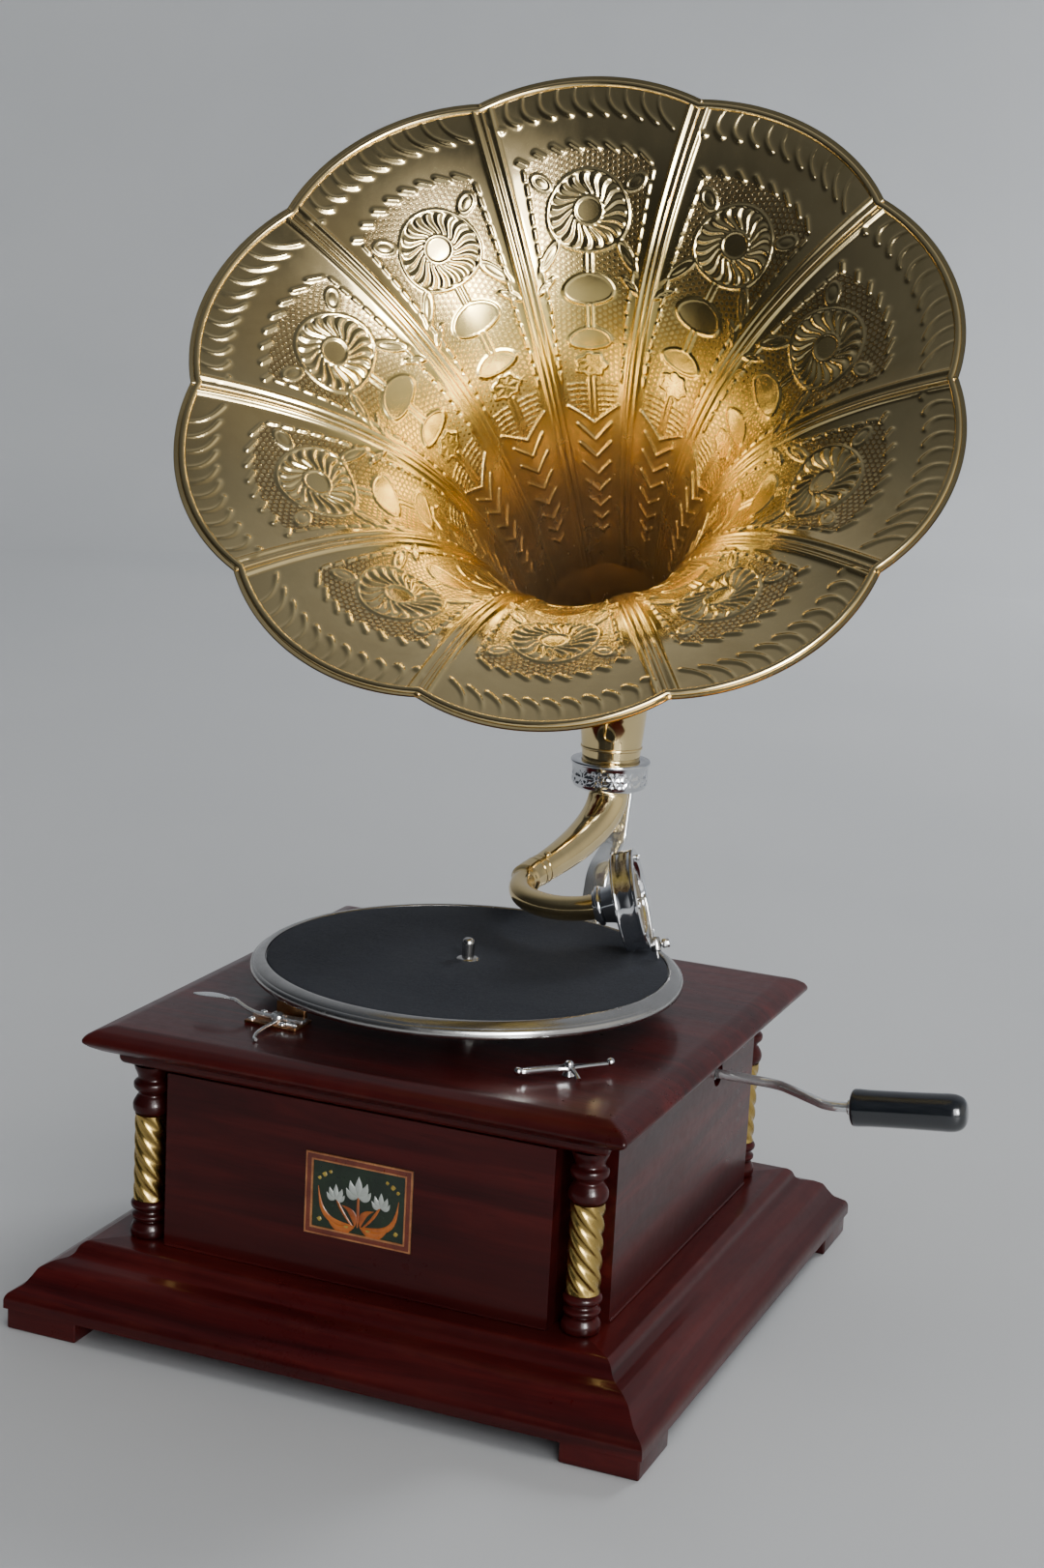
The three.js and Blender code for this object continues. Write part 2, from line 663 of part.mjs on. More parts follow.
  const pinion = prism(gearOutline(winding_pinion_teeth, winding_wheel_module, 0),
    window_x - winding_pinion_wall / 2, window_x + winding_pinion_wall / 2);
  const shaft_end = body_half - bush_flange_wall;
  const winding_shaft = join(
    rod(winding_shaft_radius, window_x - winding_pinion_wall / 2, shaft_end, small_sides), pinion);
  winding_shaft.rotateY(quarter_turn);
  addPiece('winding_shaft', winding_shaft, steel).position.set(0, crank_y, shaft_z);

  const small_arbor = rod(small_arbor_radius, floor_top + seat_gap, frame_top - seat_gap, small_sides);
  const wheel_base = floor_top + intermediate_lift;
  const to_barrel = Math.atan2(crank_y - wheel_y, barrel_x - wheel_x);
  const to_spindle = Math.atan2(-wheel_y, -wheel_x);
  const small_pinion = prism(gearOutline(intermediate_pinion_teeth, barrel_module,
    to_barrel + Math.PI / intermediate_pinion_teeth),
    wheel_base, barrel_bottom + barrel_gear_wall);
  const big_wheel = prism(gearOutline(intermediate_wheel_teeth, intermediate_module, to_spindle),
    wheel_base, wheel_base + intermediate_wall);
  addPiece('intermediate_wheel', join(small_arbor, small_pinion, big_wheel), brass)
    .position.set(wheel_x, wheel_y, 0);

  const governor_shaft = rod(governor_shaft_radius, governor_left + seat_gap, governor_right - seat_gap);
  const worm_lead = worm_starts * Math.PI * worm_wheel_module;
  const worm_steps = Math.ceil((tube_sides * worm_length) / worm_lead / 2);
  const worm = loft(Array.from({ length: worm_steps + 1 }, (_, step) => {
    const z = worm_length * (step / worm_steps - 0.5);
    return Array.from({ length: small_sides }, (__, i) => {
      const angle = (2 * Math.PI * i) / small_sides;
      const crest = Math.cos(worm_starts * (angle - (2 * Math.PI * z) / worm_lead));
      const radius = worm_radius - (worm_thread_depth * (1 - crest)) / 2;
      return new THREE.Vector3(radius * Math.cos(angle), radius * Math.sin(angle), z);
    });
  }));
  const collar_ends = [governor_ball_x - governor_spread, governor_ball_x + governor_spread];
  const collars = collar_ends.map((end) => rod(governor_ball_offset / 2 + governor_strip_wall,
    end - governor_strip_width, end + governor_strip_width));
  const disc = rod(governor_disc_radius, collar_ends[1] + governor_strip_width,
    collar_ends[1] + governor_strip_width + governor_disc_wall, round_sides);
  const weights = Array.from({ length: governor_balls }, (_, k) => {
    const ball = closedSkin(new THREE.SphereGeometry(governor_ball_radius, small_sides, small_sides / 2));
    ball.translate(governor_ball_offset, 0, governor_ball_x);
    const strips = [-1, 1].map((side) => {
      const run = Math.hypot(governor_spread, governor_ball_offset / 2);
      const strip = block([-governor_strip_wall / 2, -governor_strip_width / 2, 0],
        [governor_strip_wall / 2, governor_strip_width / 2, run]);
      strip.rotateY(Math.atan2(governor_ball_offset / 2, governor_spread));
      if (side > 0) strip.rotateX(2 * quarter_turn);
      return strip.translate(governor_ball_offset / 2, 0, governor_ball_x - side * -governor_spread);
    });
    return [ball, ...strips].map((piece) => piece.rotateZ((2 * Math.PI * k) / governor_balls));
  }).flat();
  const governor = join(governor_shaft, worm, ...collars, disc, ...weights);
  governor.rotateY(quarter_turn);
  addPiece('governor', governor, brass).position.set(0, worm_y, worm_z);
}

// Crank: a bush in the side board, the bent rod on the winding shaft's line and the free-turning grip.
function buildCrank() {
  const place = new THREE.Group();
  place.position.set(body_half, crank_y, crank_height);
  gramophone.add(place);
  const bush = turned([[crank_rod_radius + 2 * seat_gap, -panel_wall / 2],
    [crank_hole_radius - seat_gap, -panel_wall / 2],
    [crank_hole_radius - seat_gap, seat_gap], [bush_flange_radius, seat_gap],
    [bush_flange_radius, seat_gap + bush_flange_wall],
    [crank_rod_radius + 2 * seat_gap, seat_gap + bush_flange_wall],
    [crank_rod_radius + 2 * seat_gap, -panel_wall / 2]], round_sides);
  bush.rotateY(quarter_turn);
  const shaft_gap = bush_flange_wall + seat_gap;
  const cleared = cut(bush, rod(winding_shaft_radius + seat_gap, -panel_wall - cut_overrun,
    -shaft_gap + 2 * seat_gap, round_sides).rotateY(quarter_turn));
  addPiece('crank_bush', cleared, chrome, place);
  const radial = new THREE.Vector3(0, Math.cos(crank_angle * degree), Math.sin(crank_angle * degree));
  const grip_way = new THREE.Vector3(1, Math.tan(grip_back_angle * degree),
    Math.tan(grip_rise_angle * degree)).normalize();
  const first_bend = new THREE.Vector3(crank_straight, 0, 0);
  const second_bend = first_bend.clone().add(new THREE.Vector3(crank_arm_run, 0, 0))
    .addScaledVector(radial, crank_throw);
  const grip_start = second_bend.clone().addScaledVector(grip_way, crank_tail);
  const pin_end = grip_start.clone().addScaledVector(grip_way, grip_length - grip_radius);
  const start = new THREE.Vector3(-shaft_gap + 3 * seat_gap, 0, 0);
  const softness = 3 * crank_rod_radius;
  const toward = (from, to) => from.clone().addScaledVector(to.clone().sub(from).normalize(), softness);
  const path = new THREE.CurvePath();
  path.add(new THREE.LineCurve3(start, toward(first_bend, start)));
  path.add(new THREE.QuadraticBezierCurve3(toward(first_bend, start), first_bend,
    toward(first_bend, second_bend)));
  path.add(new THREE.LineCurve3(toward(first_bend, second_bend), toward(second_bend, first_bend)));
  path.add(new THREE.QuadraticBezierCurve3(toward(second_bend, first_bend), second_bend,
    toward(second_bend, pin_end)));
  path.add(new THREE.LineCurve3(toward(second_bend, pin_end), pin_end));
  addPiece('crank_arm', loft(ringsAlong(path, 3 * small_sides, small_sides, () => crank_rod_radius)),
    chrome, place);
  const grip = turned([[grip_bore_radius, 0], [0.85 * grip_radius, 0],
    [0.97 * grip_radius, 0.12 * grip_radius],
    [grip_radius, 0.4 * grip_radius], [grip_radius, grip_length - 0.85 * grip_radius],
    [0.93 * grip_radius, grip_length - 0.47 * grip_radius],
    [0.75 * grip_radius, grip_length - 0.2 * grip_radius],
    [0.45 * grip_radius, grip_length - 0.04 * grip_radius],
    [0, grip_length], [0, grip_length - grip_radius + seat_gap],
    [grip_bore_radius, grip_length - grip_radius + seat_gap], [grip_bore_radius, 0]], round_sides);
  const handle = addPiece('crank_handle', grip, black_gloss, place);
  handle.position.copy(grip_start);
  handle.quaternion.setFromUnitVectors(up, grip_way);
}

// Bracket: a shaped bar from the cabinet's back up behind the lid, and the socket ring it carries.
function buildBracket() {
  const half_wall = bracket_wall / 2;
  const plate_y = body_half + half_wall;
  const ring_y = pivot_y + socket_radius + half_wall + seat_gap;
  const behind_lid = lid_half + bracket_wall + half_wall;
  const rise = socket_rise;
  const route = [[plate_y, bracket_plate_bottom], [plate_y, body_top - 0.45 * lid_height],
    [behind_lid, body_top + 0.5 * lid_height],
    [behind_lid + 0.18 * rise, lid_top + 0.2 * rise], [pivot_y - 0.12 * rise, lid_top + 0.42 * rise],
    [pivot_y + 0.2 * rise, lid_top + 0.56 * rise], [ring_y - 0.06 * rise, lid_top + 0.74 * rise],
    [ring_y, socket_bottom], [ring_y, socket_bottom + 0.8 * socket_height]];
  const offsetSide = (side) => route.map(([y, z], i) => {
    const [before, after] = [route[Math.max(i - 1, 0)], route[Math.min(i + 1, route.length - 1)]];
    const way = new THREE.Vector2(after[0] - before[0], after[1] - before[1]).normalize();
    return [y + side * half_wall * way.y, z - side * half_wall * way.x];
  });
  const outline = [...offsetSide(1), ...offsetSide(-1).reverse()];
  const arm = prism(outline.map(([y, z]) => [y, z]), -bracket_width / 2, bracket_width / 2);
  arm.applyMatrix4(new THREE.Matrix4().makeBasis(new THREE.Vector3(0, 1, 0), up, new THREE.Vector3(1, 0, 0)));
  arm.translate(pivot_x, 0, 0);
  const hole_heights = [bracket_plate_bottom + bracket_width / 2, body_top - lid_height];
  const holes = hole_heights.map((z) => {
    const hole = rod(bracket_bolt_radius / 2 + seat_gap, -bracket_wall, 2 * bracket_wall, small_sides);
    return hole.rotateX(-quarter_turn).translate(pivot_x, body_half, z);
  });
  addPiece('bracket_arm', cut(arm, ...holes), chrome);
  hole_heights.forEach((z, k) => {
    const head = body_half + bracket_wall + seat_gap;
    const bolt = join(rod(bracket_bolt_radius / 2, body_half + seat_gap, head + seat_gap, small_sides),
      turned([[0, head], [bracket_bolt_radius, head], [bracket_bolt_radius, head + bracket_wall / 4],
        [bracket_bolt_radius / 2, head + bracket_wall / 2], [0, head + bracket_wall / 2]], small_sides));
    bolt.rotateX(-quarter_turn);
    addPiece(`bracket_bolt_${k + 1}`, bolt, chrome).position.set(pivot_x, 0, z);
  });
  const low_bore = arm_radius + seat_gap;
  const high_bore = neck_radius + seat_gap;
  const step = socket_height - neck_insert - seat_gap;
  const socket = turned([[low_bore, 0], [0.76 * socket_radius, 0],
    [0.96 * socket_radius, 0.12 * socket_height],
    [socket_radius, 0.2 * socket_height], [socket_radius, 0.8 * socket_height],
    [socket_radius + socket_lip, 0.88 * socket_height],
    [socket_radius + socket_lip, socket_height], [high_bore, socket_height], [high_bore, step],
    [low_bore, step],
    [low_bore, 0]], round_sides);
  addPiece('horn_socket', socket, chrome).position.copy(pivot);
}

// Horn: a hollow elbow that stands in the socket, and ten petals that make the bell.
function hornRadius(depth) {
  return rim_radius / (1 + depth / bell_flare) ** bell_power_share;
}

function buildHorn() {
  const ahead = new THREE.Vector3(Math.sin(horn_azimuth * degree), -Math.cos(horn_azimuth * degree), 0);
  const turn = (90 - horn_tilt) * degree;
  const mouth = ahead.clone().multiplyScalar(Math.sin(turn)).addScaledVector(up, Math.cos(turn));
  const neck_top = pivot.clone().addScaledVector(up, socket_height + elbow_rise);
  const elbow_end = neck_top.clone().addScaledVector(ahead, elbow_radius * (1 - Math.cos(turn)))
    .addScaledVector(up, elbow_radius * Math.sin(turn));
  const bend = elbow_radius * Math.tan(turn / 2);
  const corner = neck_top.clone().addScaledVector(up, bend);
  const bell_start = elbow_end.clone().addScaledVector(mouth, elbow_throat - seat_gap);
  const centre = elbow_end.clone().addScaledVector(mouth, elbow_throat + bell_depth);
  const route = new THREE.CurvePath();
  const neck_bottom = pivot.clone().addScaledVector(up, socket_height - neck_insert);
  route.add(new THREE.LineCurve3(neck_bottom, neck_top));
  route.add(new THREE.CubicBezierCurve3(neck_top, neck_top.clone().lerp(corner, 0.6),
    elbow_end.clone().lerp(corner, 0.6), elbow_end));
  route.add(new THREE.LineCurve3(elbow_end, bell_start));
  const throat_radius = hornRadius(bell_depth);
  const socket_share = neck_insert / route.getLength();
  const radiusAt = (share) => {
    const beyond = Math.max(0, (share - socket_share) / (1 - socket_share));
    return neck_radius + (throat_radius - neck_radius) * (0.62 * beyond + 0.38 * beyond ** 3);
  };
  addPiece('horn_elbow', hollowTube(route, 14, round_sides, radiusAt, horn_wall), brass);

  const side = up.clone().cross(mouth).normalize();
  const top = mouth.clone().cross(side);
  const angle_step = (2 * Math.PI) / horn_petals;
  const depth_shares = [0, 0.012, 0.03, 0.075, 0.14, 0.22, 0.32, 0.45, 0.6, 0.78, 1];
  const across_steps = 4;
  for (let k = 0; k < horn_petals; k += 1) {
    const middle = horn_phase * degree + (k + 0.5) * angle_step;
    const rings = depth_shares.map((share, i) => {
      const depth = share * bell_depth;
      const seam_radius = hornRadius(depth);
      const slope = (hornRadius(depth) - hornRadius(depth + horn_wall)) / horn_wall;
      const normal = new THREE.Vector2(1, slope).normalize();
      const wall = i < 2 ? rim_bead : horn_wall;
      const half_angle = angle_step / 2 - seam_gap / (2 * seam_radius);
      const bulge = (rim_bulge * seam_radius) / rim_radius;
      // Ridges along both edges shrink towards the throat, but not as fast as the petal does.
      const ridge_scale = 0.42 + (0.58 * seam_radius) / rim_radius;
      const crest = 1 - (ridge_scale * seam_ridge_inset) / (half_angle * seam_radius);
      const foot = crest - (ridge_scale * seam_ridge_width) / (half_angle * seam_radius);
      const lift = i < 2 ? 0 : ridge_scale * seam_ridge_height;
      const inner_places = Array.from({ length: across_steps - 1 },
        (_, j) => (2 * (j + 1)) / across_steps - 1);
      const places = [-1, -crest, -foot, ...inner_places, foot, crest, 1];
      const pointAt = (j, wall_offset) => {
        const across = places[j];
        const offset = wall_offset - (Math.abs(across) === crest ? lift : 0);
        const angle = middle + across * half_angle;
        const radius = seam_radius + bulge * (1 - across ** 2) + offset * normal.x;
        return centre.clone().addScaledVector(mouth, -(depth + offset * normal.y))
          .addScaledVector(side, radius * Math.cos(angle)).addScaledVector(top, radius * Math.sin(angle));
      };
      const inside = places.map((_, j) => pointAt(j, 0));
      const outside = places.map((_, j) => pointAt(j, wall)).reverse();
      return [...inside, ...outside];
    });
    addPiece(`horn_petal_${k + 1}`, loft(rings, 'strip'), brass);
  }
}

// Tone arm: a tapered tube that hangs from the socket and runs forward over the turntable.
function armEnd() {
  return new THREE.Vector3(pivot_x - arm_side, pivot_y - arm_forward,
    socket_bottom + socket_height - neck_insert - arm_drop + seat_gap);
}

function jointWay() {
  const dip = joint_dip_angle * degree;
  const turn = joint_turn_angle * degree;
  return new THREE.Vector3(-Math.sin(turn) * Math.cos(dip), -Math.cos(turn) * Math.cos(dip), -Math.sin(dip));
}

function boxAxes() {
  const turn = box_turn_angle * degree;
  const lean = box_lean_angle * degree;
  const out = new THREE.Vector3(Math.cos(turn) * Math.cos(lean), Math.sin(turn) * Math.cos(lean),
    Math.sin(lean));
  const back = new THREE.Vector3(-Math.sin(turn), Math.cos(turn), 0);
  return { out, back, rise: out.clone().cross(back) };
}

function boxCentre() {
  const { out, back, rise } = boxAxes();
  const needle_forward = box_depth / 2 + seat_gap + chuck_radius;
  return new THREE.Vector3(needle_x, needle_y, felt_top + seat_gap).addScaledVector(out, -needle_forward)
    .addScaledVector(rise, needle_drop).addScaledVector(back, needle_trail);
}

function buildToneArm() {
  const top = pivot.clone().addScaledVector(up, socket_height - neck_insert - 2 * seat_gap);
  const bend = pivot.clone().addScaledVector(up, -arm_bend_start);
  const end = armEnd();
  const way = jointWay();
  const route = new THREE.CurvePath();
  route.add(new THREE.LineCurve3(top, bend));
  route.add(new THREE.CubicBezierCurve3(bend, bend.clone().addScaledVector(up, -arm_bend_reach),
    end.clone().addScaledVector(way, -arm_end_reach), end));
  const radiusAt = (share) => arm_radius + (arm_end_radius - arm_radius) * Math.max(0, (share - 0.15) / 0.85);
  addPiece('tone_arm', hollowTube(route, 12, tube_sides, radiusAt, arm_wall), brass);
}

// Gooseneck: a bent tube that turns in the arm's end and carries the sound box.
function buildGooseneck() {
  const way = jointWay();
  const { out } = boxAxes();
  const start = armEnd().addScaledVector(way, seat_gap);
  const mouth = boxCentre().addScaledVector(out, -(box_depth / 2 + box_socket_length + seat_gap));
  const end = mouth.clone().addScaledVector(out, box_socket_insert);
  const route = new THREE.CurvePath();
  route.add(new THREE.CubicBezierCurve3(start, start.clone().addScaledVector(way, gooseneck_start_reach),
    mouth.clone().addScaledVector(out, -gooseneck_end_reach), mouth));
  route.add(new THREE.LineCurve3(mouth, end));
  const radiusAt = (share) => (share < 0.12 ? gooseneck_collar_radius : gooseneck_radius);
  addPiece('gooseneck', hollowTube(route, 18, tube_sides, radiusAt, arm_wall), brass);
}

// Sound box: a round drum with a mica diaphragm, a stylus bar across its face, and the needle in its chuck.
function buildSoundBox() {
  const { out, back, rise } = boxAxes();
  const place = new THREE.Group();
  place.position.copy(boxCentre());
  place.quaternion.setFromRotationMatrix(new THREE.Matrix4().makeBasis(rise, back.clone().negate(), out));
  gramophone.add(place);
  const half = box_depth / 2;
  const bore = gooseneck_radius + seat_gap;
  const socket_end = -half - box_socket_length;
  const seat = half - 2 * box_rim_wall;
  const drum = turned([[bore, socket_end], [box_socket_radius, socket_end], [box_socket_flare_radius, -half],
    [box_radius, -half], [box_radius, -half + box_flange_wall],
    [0.95 * box_radius, -half + 1.5 * box_flange_wall],
    [0.95 * box_radius, half - box_rim_wall], [box_radius, half - box_rim_wall], [box_radius, half],
    [box_face_radius, half], [box_face_radius, seat], [bore, seat], [bore, socket_end]], round_sides);
  addPiece('soundbox_body', drum, chrome, place);
  addPiece('diaphragm',
    rod(box_face_radius - seat_gap, seat + seat_gap, seat + seat_gap + diaphragm_wall, round_sides),
    mica, place);

  // The stylus bar runs from the diaphragm's middle over the rim to the chuck above the needle.
  const angle = Math.atan2(needle_trail, -needle_drop);
  const bar_place = new THREE.Group();
  bar_place.rotation.z = angle;
  place.add(bar_place);
  const face = half + seat_gap;
  const bar_top = face + stylus_wall;
  const post_base = seat + 2 * seat_gap + diaphragm_wall;
  const tip_reach = Math.hypot(needle_drop, needle_trail);
  const chuck_middle = tip_reach - needle_rise;
  const bar = block([-stylus_width / 2, -stylus_width / 2, face], [chuck_middle, stylus_width / 2, bar_top]);
  const post = rod(stylus_width / 3, post_base, bar_top - stylus_wall / 4);
  const chuck = rod(chuck_radius, chuck_middle - chuck_length / 2, chuck_middle + chuck_length / 2);
  chuck.rotateY(quarter_turn).translate(0, 0, face + chuck_radius);
  const needle_hole = rod(needle_radius + seat_gap / 2, chuck_middle - chuck_length / 4, tip_reach);
  needle_hole.rotateY(quarter_turn).translate(0, 0, face + chuck_radius);
  const screw_hole = rod(thumb_screw_radius / 2 + seat_gap, face + chuck_radius, face + 3 * chuck_radius);
  screw_hole.translate(chuck_middle, 0, 0);
  addPiece('stylus_bar', cut(join(bar, post, chuck), needle_hole, screw_hole), chrome, bar_place);

  // The needle leans from the chuck in front of the rim back to its tip.
  const chuck_floor = chuck_middle - chuck_length / 4 + seat_gap;
  const needle = turned([[0, chuck_floor], [needle_radius, chuck_floor],
    [needle_radius, tip_reach - 3 * needle_radius],
    [0, tip_reach]], small_sides);
  needle.rotateY(quarter_turn).translate(0, 0, face + chuck_radius);
  addPiece('needle', needle, steel, bar_place);
  const screw_z = face + chuck_radius + needle_radius + seat_gap;
  const head_z = face + 2 * chuck_radius + seat_gap;
  const screw = turned([[0, screw_z], [thumb_screw_radius / 2, screw_z], [thumb_screw_radius / 2, head_z],
    [thumb_screw_radius, head_z], [thumb_screw_radius, screw_z + thumb_screw_length],
    [0.7 * thumb_screw_radius, screw_z + 1.1 * thumb_screw_length],
    [0, screw_z + 1.1 * thumb_screw_length]], small_sides);
  screw.translate(chuck_middle, 0, 0);
  addPiece('needle_screw', screw, chrome, bar_place);
}

// Levers: the brake with its plate under the platter's edge, and the speed lever at the front right.
function buildLevers() {
  const plate = block([-brake_plate_length / 2, -brake_plate_width / 2, 0],
    [brake_plate_length / 2, brake_plate_width / 2, brake_plate_wall]);
  const pin_hole = rod(lever_pin_radius + seat_gap, -cut_overrun, brake_plate_wall + cut_overrun);
  const post_front = brake_plate_width / 2 - 2 * brake_plate_wall;
  const post = block([-brake_post_length / 4, post_front, 0],
    [0.75 * brake_post_length, brake_plate_width / 2, brake_post_height]);
  addPiece('brake_plate', cut(join(plate, post), pin_hole), steel).position.set(brake_x, brake_y, lid_top);

  const lever_z = lid_top + brake_plate_wall + seat_gap;
  const half_wall = lever_wall / 2;
  const shank = new THREE.CatmullRomCurve3([[0, half_wall], [-0.45 * brake_reach, half_wall],
    [-brake_reach, brake_tab_rise], [-brake_reach - 0.2 * brake_tab_length, brake_tab_rise + half_wall]]
    .map(([x, z]) => new THREE.Vector3(x, 0, z)));
  const shank_rod = loft(ringsAlong(shank, small_sides, small_sides / 2, () => half_wall));
  const tab_start = -brake_reach - 0.15 * brake_tab_length;
  const tab_shares = [[0, 0.25], [0.25, 0.42], [0.55, 0.5], [0.85, 0.34], [1, 0]];
  const upper = tab_shares.map(([x, y]) => [tab_start - x * 0.85 * brake_tab_length, y * brake_tab_width]);
  const lower = upper.slice(0, -1).reverse().map(([x, y]) => [x, -y]);
  const tab = prism([...upper, ...lower], brake_tab_rise, brake_tab_rise + half_wall);
  const pin = rod(lever_pin_radius, -brake_plate_wall - seat_gap - lever_pin_depth + seat_gap, lever_wall);
  const hub = rod(1.7 * lever_pin_radius, 0, lever_wall);
  const shoe = block([0, -lever_width / 2, 0], [brake_plate_length / 2, lever_width / 2, lever_wall]);
  addPiece('brake_lever', join(hub, pin, shoe, shank_rod, tab), chrome)
    .position.set(brake_x, brake_y, lever_z);

  const bar_top = speed_post_height + lever_wall;
  const bar = block([-speed_reach_front, -lever_width / 2, speed_post_height],
    [speed_reach_back, lever_width / 2, bar_top]);
  const knobs = [-speed_reach_front, speed_reach_back].map((x) => (
    rod(lever_knob_radius, speed_post_height - half_wall, bar_top + half_wall).translate(x, 0, 0)));
  const speed_pin = rod(lever_pin_radius, seat_gap - lever_pin_depth, bar_top);
  const speed_hub = rod(speed_post_radius, 0, bar_top + half_wall);
  const speed_lever = addPiece('speed_lever', join(bar, ...knobs, speed_pin, speed_hub), chrome);
  speed_lever.position.set(speed_x, speed_y, lid_top + seat_gap);
  speed_lever.rotation.z = speed_angle * degree;
}

buildBase();
buildBody();
buildLid();
buildColumns();
buildTurntable();
buildMotor();
buildCrank();
buildBracket();
buildHorn();
buildToneArm();
buildGooseneck();
buildSoundBox();
buildLevers();

// The whole is moved so that the origin lies under the middle of its box.
const whole_box = new THREE.Box3().setFromObject(gramophone, true);
const middle = whole_box.getCenter(new THREE.Vector3());
gramophone.position.set(-middle.x, -middle.y, -whole_box.min.z);
const part = new THREE.Group();
part.add(gramophone);

export default part;
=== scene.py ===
import json
import math

import bpy
import numpy as np
from mathutils import Matrix, Vector


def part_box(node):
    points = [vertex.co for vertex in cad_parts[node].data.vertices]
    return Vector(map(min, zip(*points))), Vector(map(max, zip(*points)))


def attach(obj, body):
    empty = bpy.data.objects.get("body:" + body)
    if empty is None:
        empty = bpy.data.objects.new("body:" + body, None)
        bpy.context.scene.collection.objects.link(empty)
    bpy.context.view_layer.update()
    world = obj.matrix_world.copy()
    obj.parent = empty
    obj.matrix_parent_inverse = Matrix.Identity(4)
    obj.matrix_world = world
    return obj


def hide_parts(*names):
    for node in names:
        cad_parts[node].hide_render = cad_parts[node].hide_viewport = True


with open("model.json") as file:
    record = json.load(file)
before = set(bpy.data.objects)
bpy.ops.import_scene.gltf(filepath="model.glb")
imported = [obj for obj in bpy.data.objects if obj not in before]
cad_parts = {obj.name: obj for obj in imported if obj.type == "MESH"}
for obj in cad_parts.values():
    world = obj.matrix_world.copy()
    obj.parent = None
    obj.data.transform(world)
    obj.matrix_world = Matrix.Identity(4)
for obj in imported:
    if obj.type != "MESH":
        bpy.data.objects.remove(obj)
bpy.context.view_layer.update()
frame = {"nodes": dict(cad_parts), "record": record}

# Working frame: millimetres, origin under the cabinet's middle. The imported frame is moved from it.
MM = 0.001
lid_low, lid_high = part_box("lid")
ORIGIN = np.array([(lid_low.x + lid_high.x) / 2, (lid_low.y + lid_high.y) / 2, 0.0])


# Helpers that make meshes: every shape is a pair of points and faces

def make(name, points, faces, material, body, nodes=(), angle=35, uv=None, fields=None):
    """A mesh piece from points in the working frame, riding on a body and standing for CAD nodes."""
    co = np.asarray(points, float).reshape(-1, 3) * MM + ORIGIN
    mesh = bpy.data.meshes.new(name)
    mesh.from_pydata(co.tolist(), [], [tuple(int(i) for i in f) for f in faces])
    mesh.validate()
    if uv is not None:
        layer = mesh.uv_layers.new(name="UVMap")
        loops = np.zeros(len(mesh.loops), np.int32)
        mesh.loops.foreach_get("vertex_index", loops)
        layer.data.foreach_set("uv", np.asarray(uv, np.float32)[loops].ravel())
    for key, values in (fields or {}).items():
        attribute = mesh.attributes.new(key, "FLOAT", "POINT")
        attribute.data.foreach_set("value", np.asarray(values, np.float32).ravel())
    mesh.shade_smooth()
    if angle < 180:
        mesh.set_sharp_from_angle(angle=math.radians(angle))
    mesh.materials.append(material)
    piece = bpy.data.objects.new(name, mesh)
    bpy.context.scene.collection.objects.link(piece)
    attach(piece, body)
    if nodes:
        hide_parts(*nodes)
    return piece


def grid_faces(rows, cols, close_rows=False, close_cols=False, start=0):
    faces = []
    for i in range(rows if close_rows else rows - 1):
        a, b = start + i * cols, start + ((i + 1) % rows) * cols
        for j in range(cols if close_cols else cols - 1):
            k = (j + 1) % cols
            faces.append((a + j, a + k, b + k, b + j))
    return faces


def smooth_line(points, steps, closed=False):
    """Points along a Catmull-Rom line through the given ones."""
    p = np.asarray(points, float)
    ends = (p[-1:], p[:2]) if closed else (2 * p[:1] - p[1:2], 2 * p[-1:] - p[-2:-1])
    q = np.vstack([ends[0], p, ends[1]])
    out = []
    for i in range(1, len(q) - 2):
        for t in np.linspace(0, 1, steps, endpoint=False):
            a, b, c, d = q[i - 1:i + 3]
            out.append(0.5 * (2 * b + (c - a) * t + (2 * a - 5 * b + 4 * c - d) * t ** 2
                              + (3 * b - a - 3 * c + d) * t ** 3))
    if not closed:
        out.append(p[-1])
    return np.array(out)


def bezier(a, b, c, d, steps):
    t = np.linspace(0, 1, steps)[:, None]
    a, b, c, d = (np.asarray(v, float) for v in (a, b, c, d))
    return (1 - t) ** 3 * a + 3 * (1 - t) ** 2 * t * b + 3 * (1 - t) * t ** 2 * c + t ** 3 * d


def rounded_line(points, radius, steps=7):
    """A polyline with its corners rounded off."""
    p = [np.asarray(v, float) for v in points]
    out = [p[0]]
    for a, b, c in zip(p, p[1:], p[2:]):
        u, v = (a - b), (c - b)
        r = min(radius, 0.45 * np.linalg.norm(u), 0.45 * np.linalg.norm(v))
        u, v = b + u / np.linalg.norm(u) * r, b + v / np.linalg.norm(v) * r
        for t in np.linspace(0, 1, steps):
            out.append((1 - t) ** 2 * u + 2 * t * (1 - t) * b + t ** 2 * v)
    out.append(p[-1])
    return np.array(out)


def transport(line):
    """Tangents and two cross directions along a line, with no twist."""
    line = np.asarray(line, float)
    tangent = np.gradient(line, axis=0)
    tangent /= np.linalg.norm(tangent, axis=1)[:, None]
    first = np.cross(tangent[0], [0, 0, 1.0])
    if np.linalg.norm(first) < 0.1:
        first = np.cross(tangent[0], [0, 1.0, 0])
    side = [first / np.linalg.norm(first)]
    for t in tangent[1:]:
        s = side[-1] - t * (side[-1] @ t)
        side.append(s / np.linalg.norm(s))
    side = np.array(side)
    return tangent, side, np.cross(tangent, side)


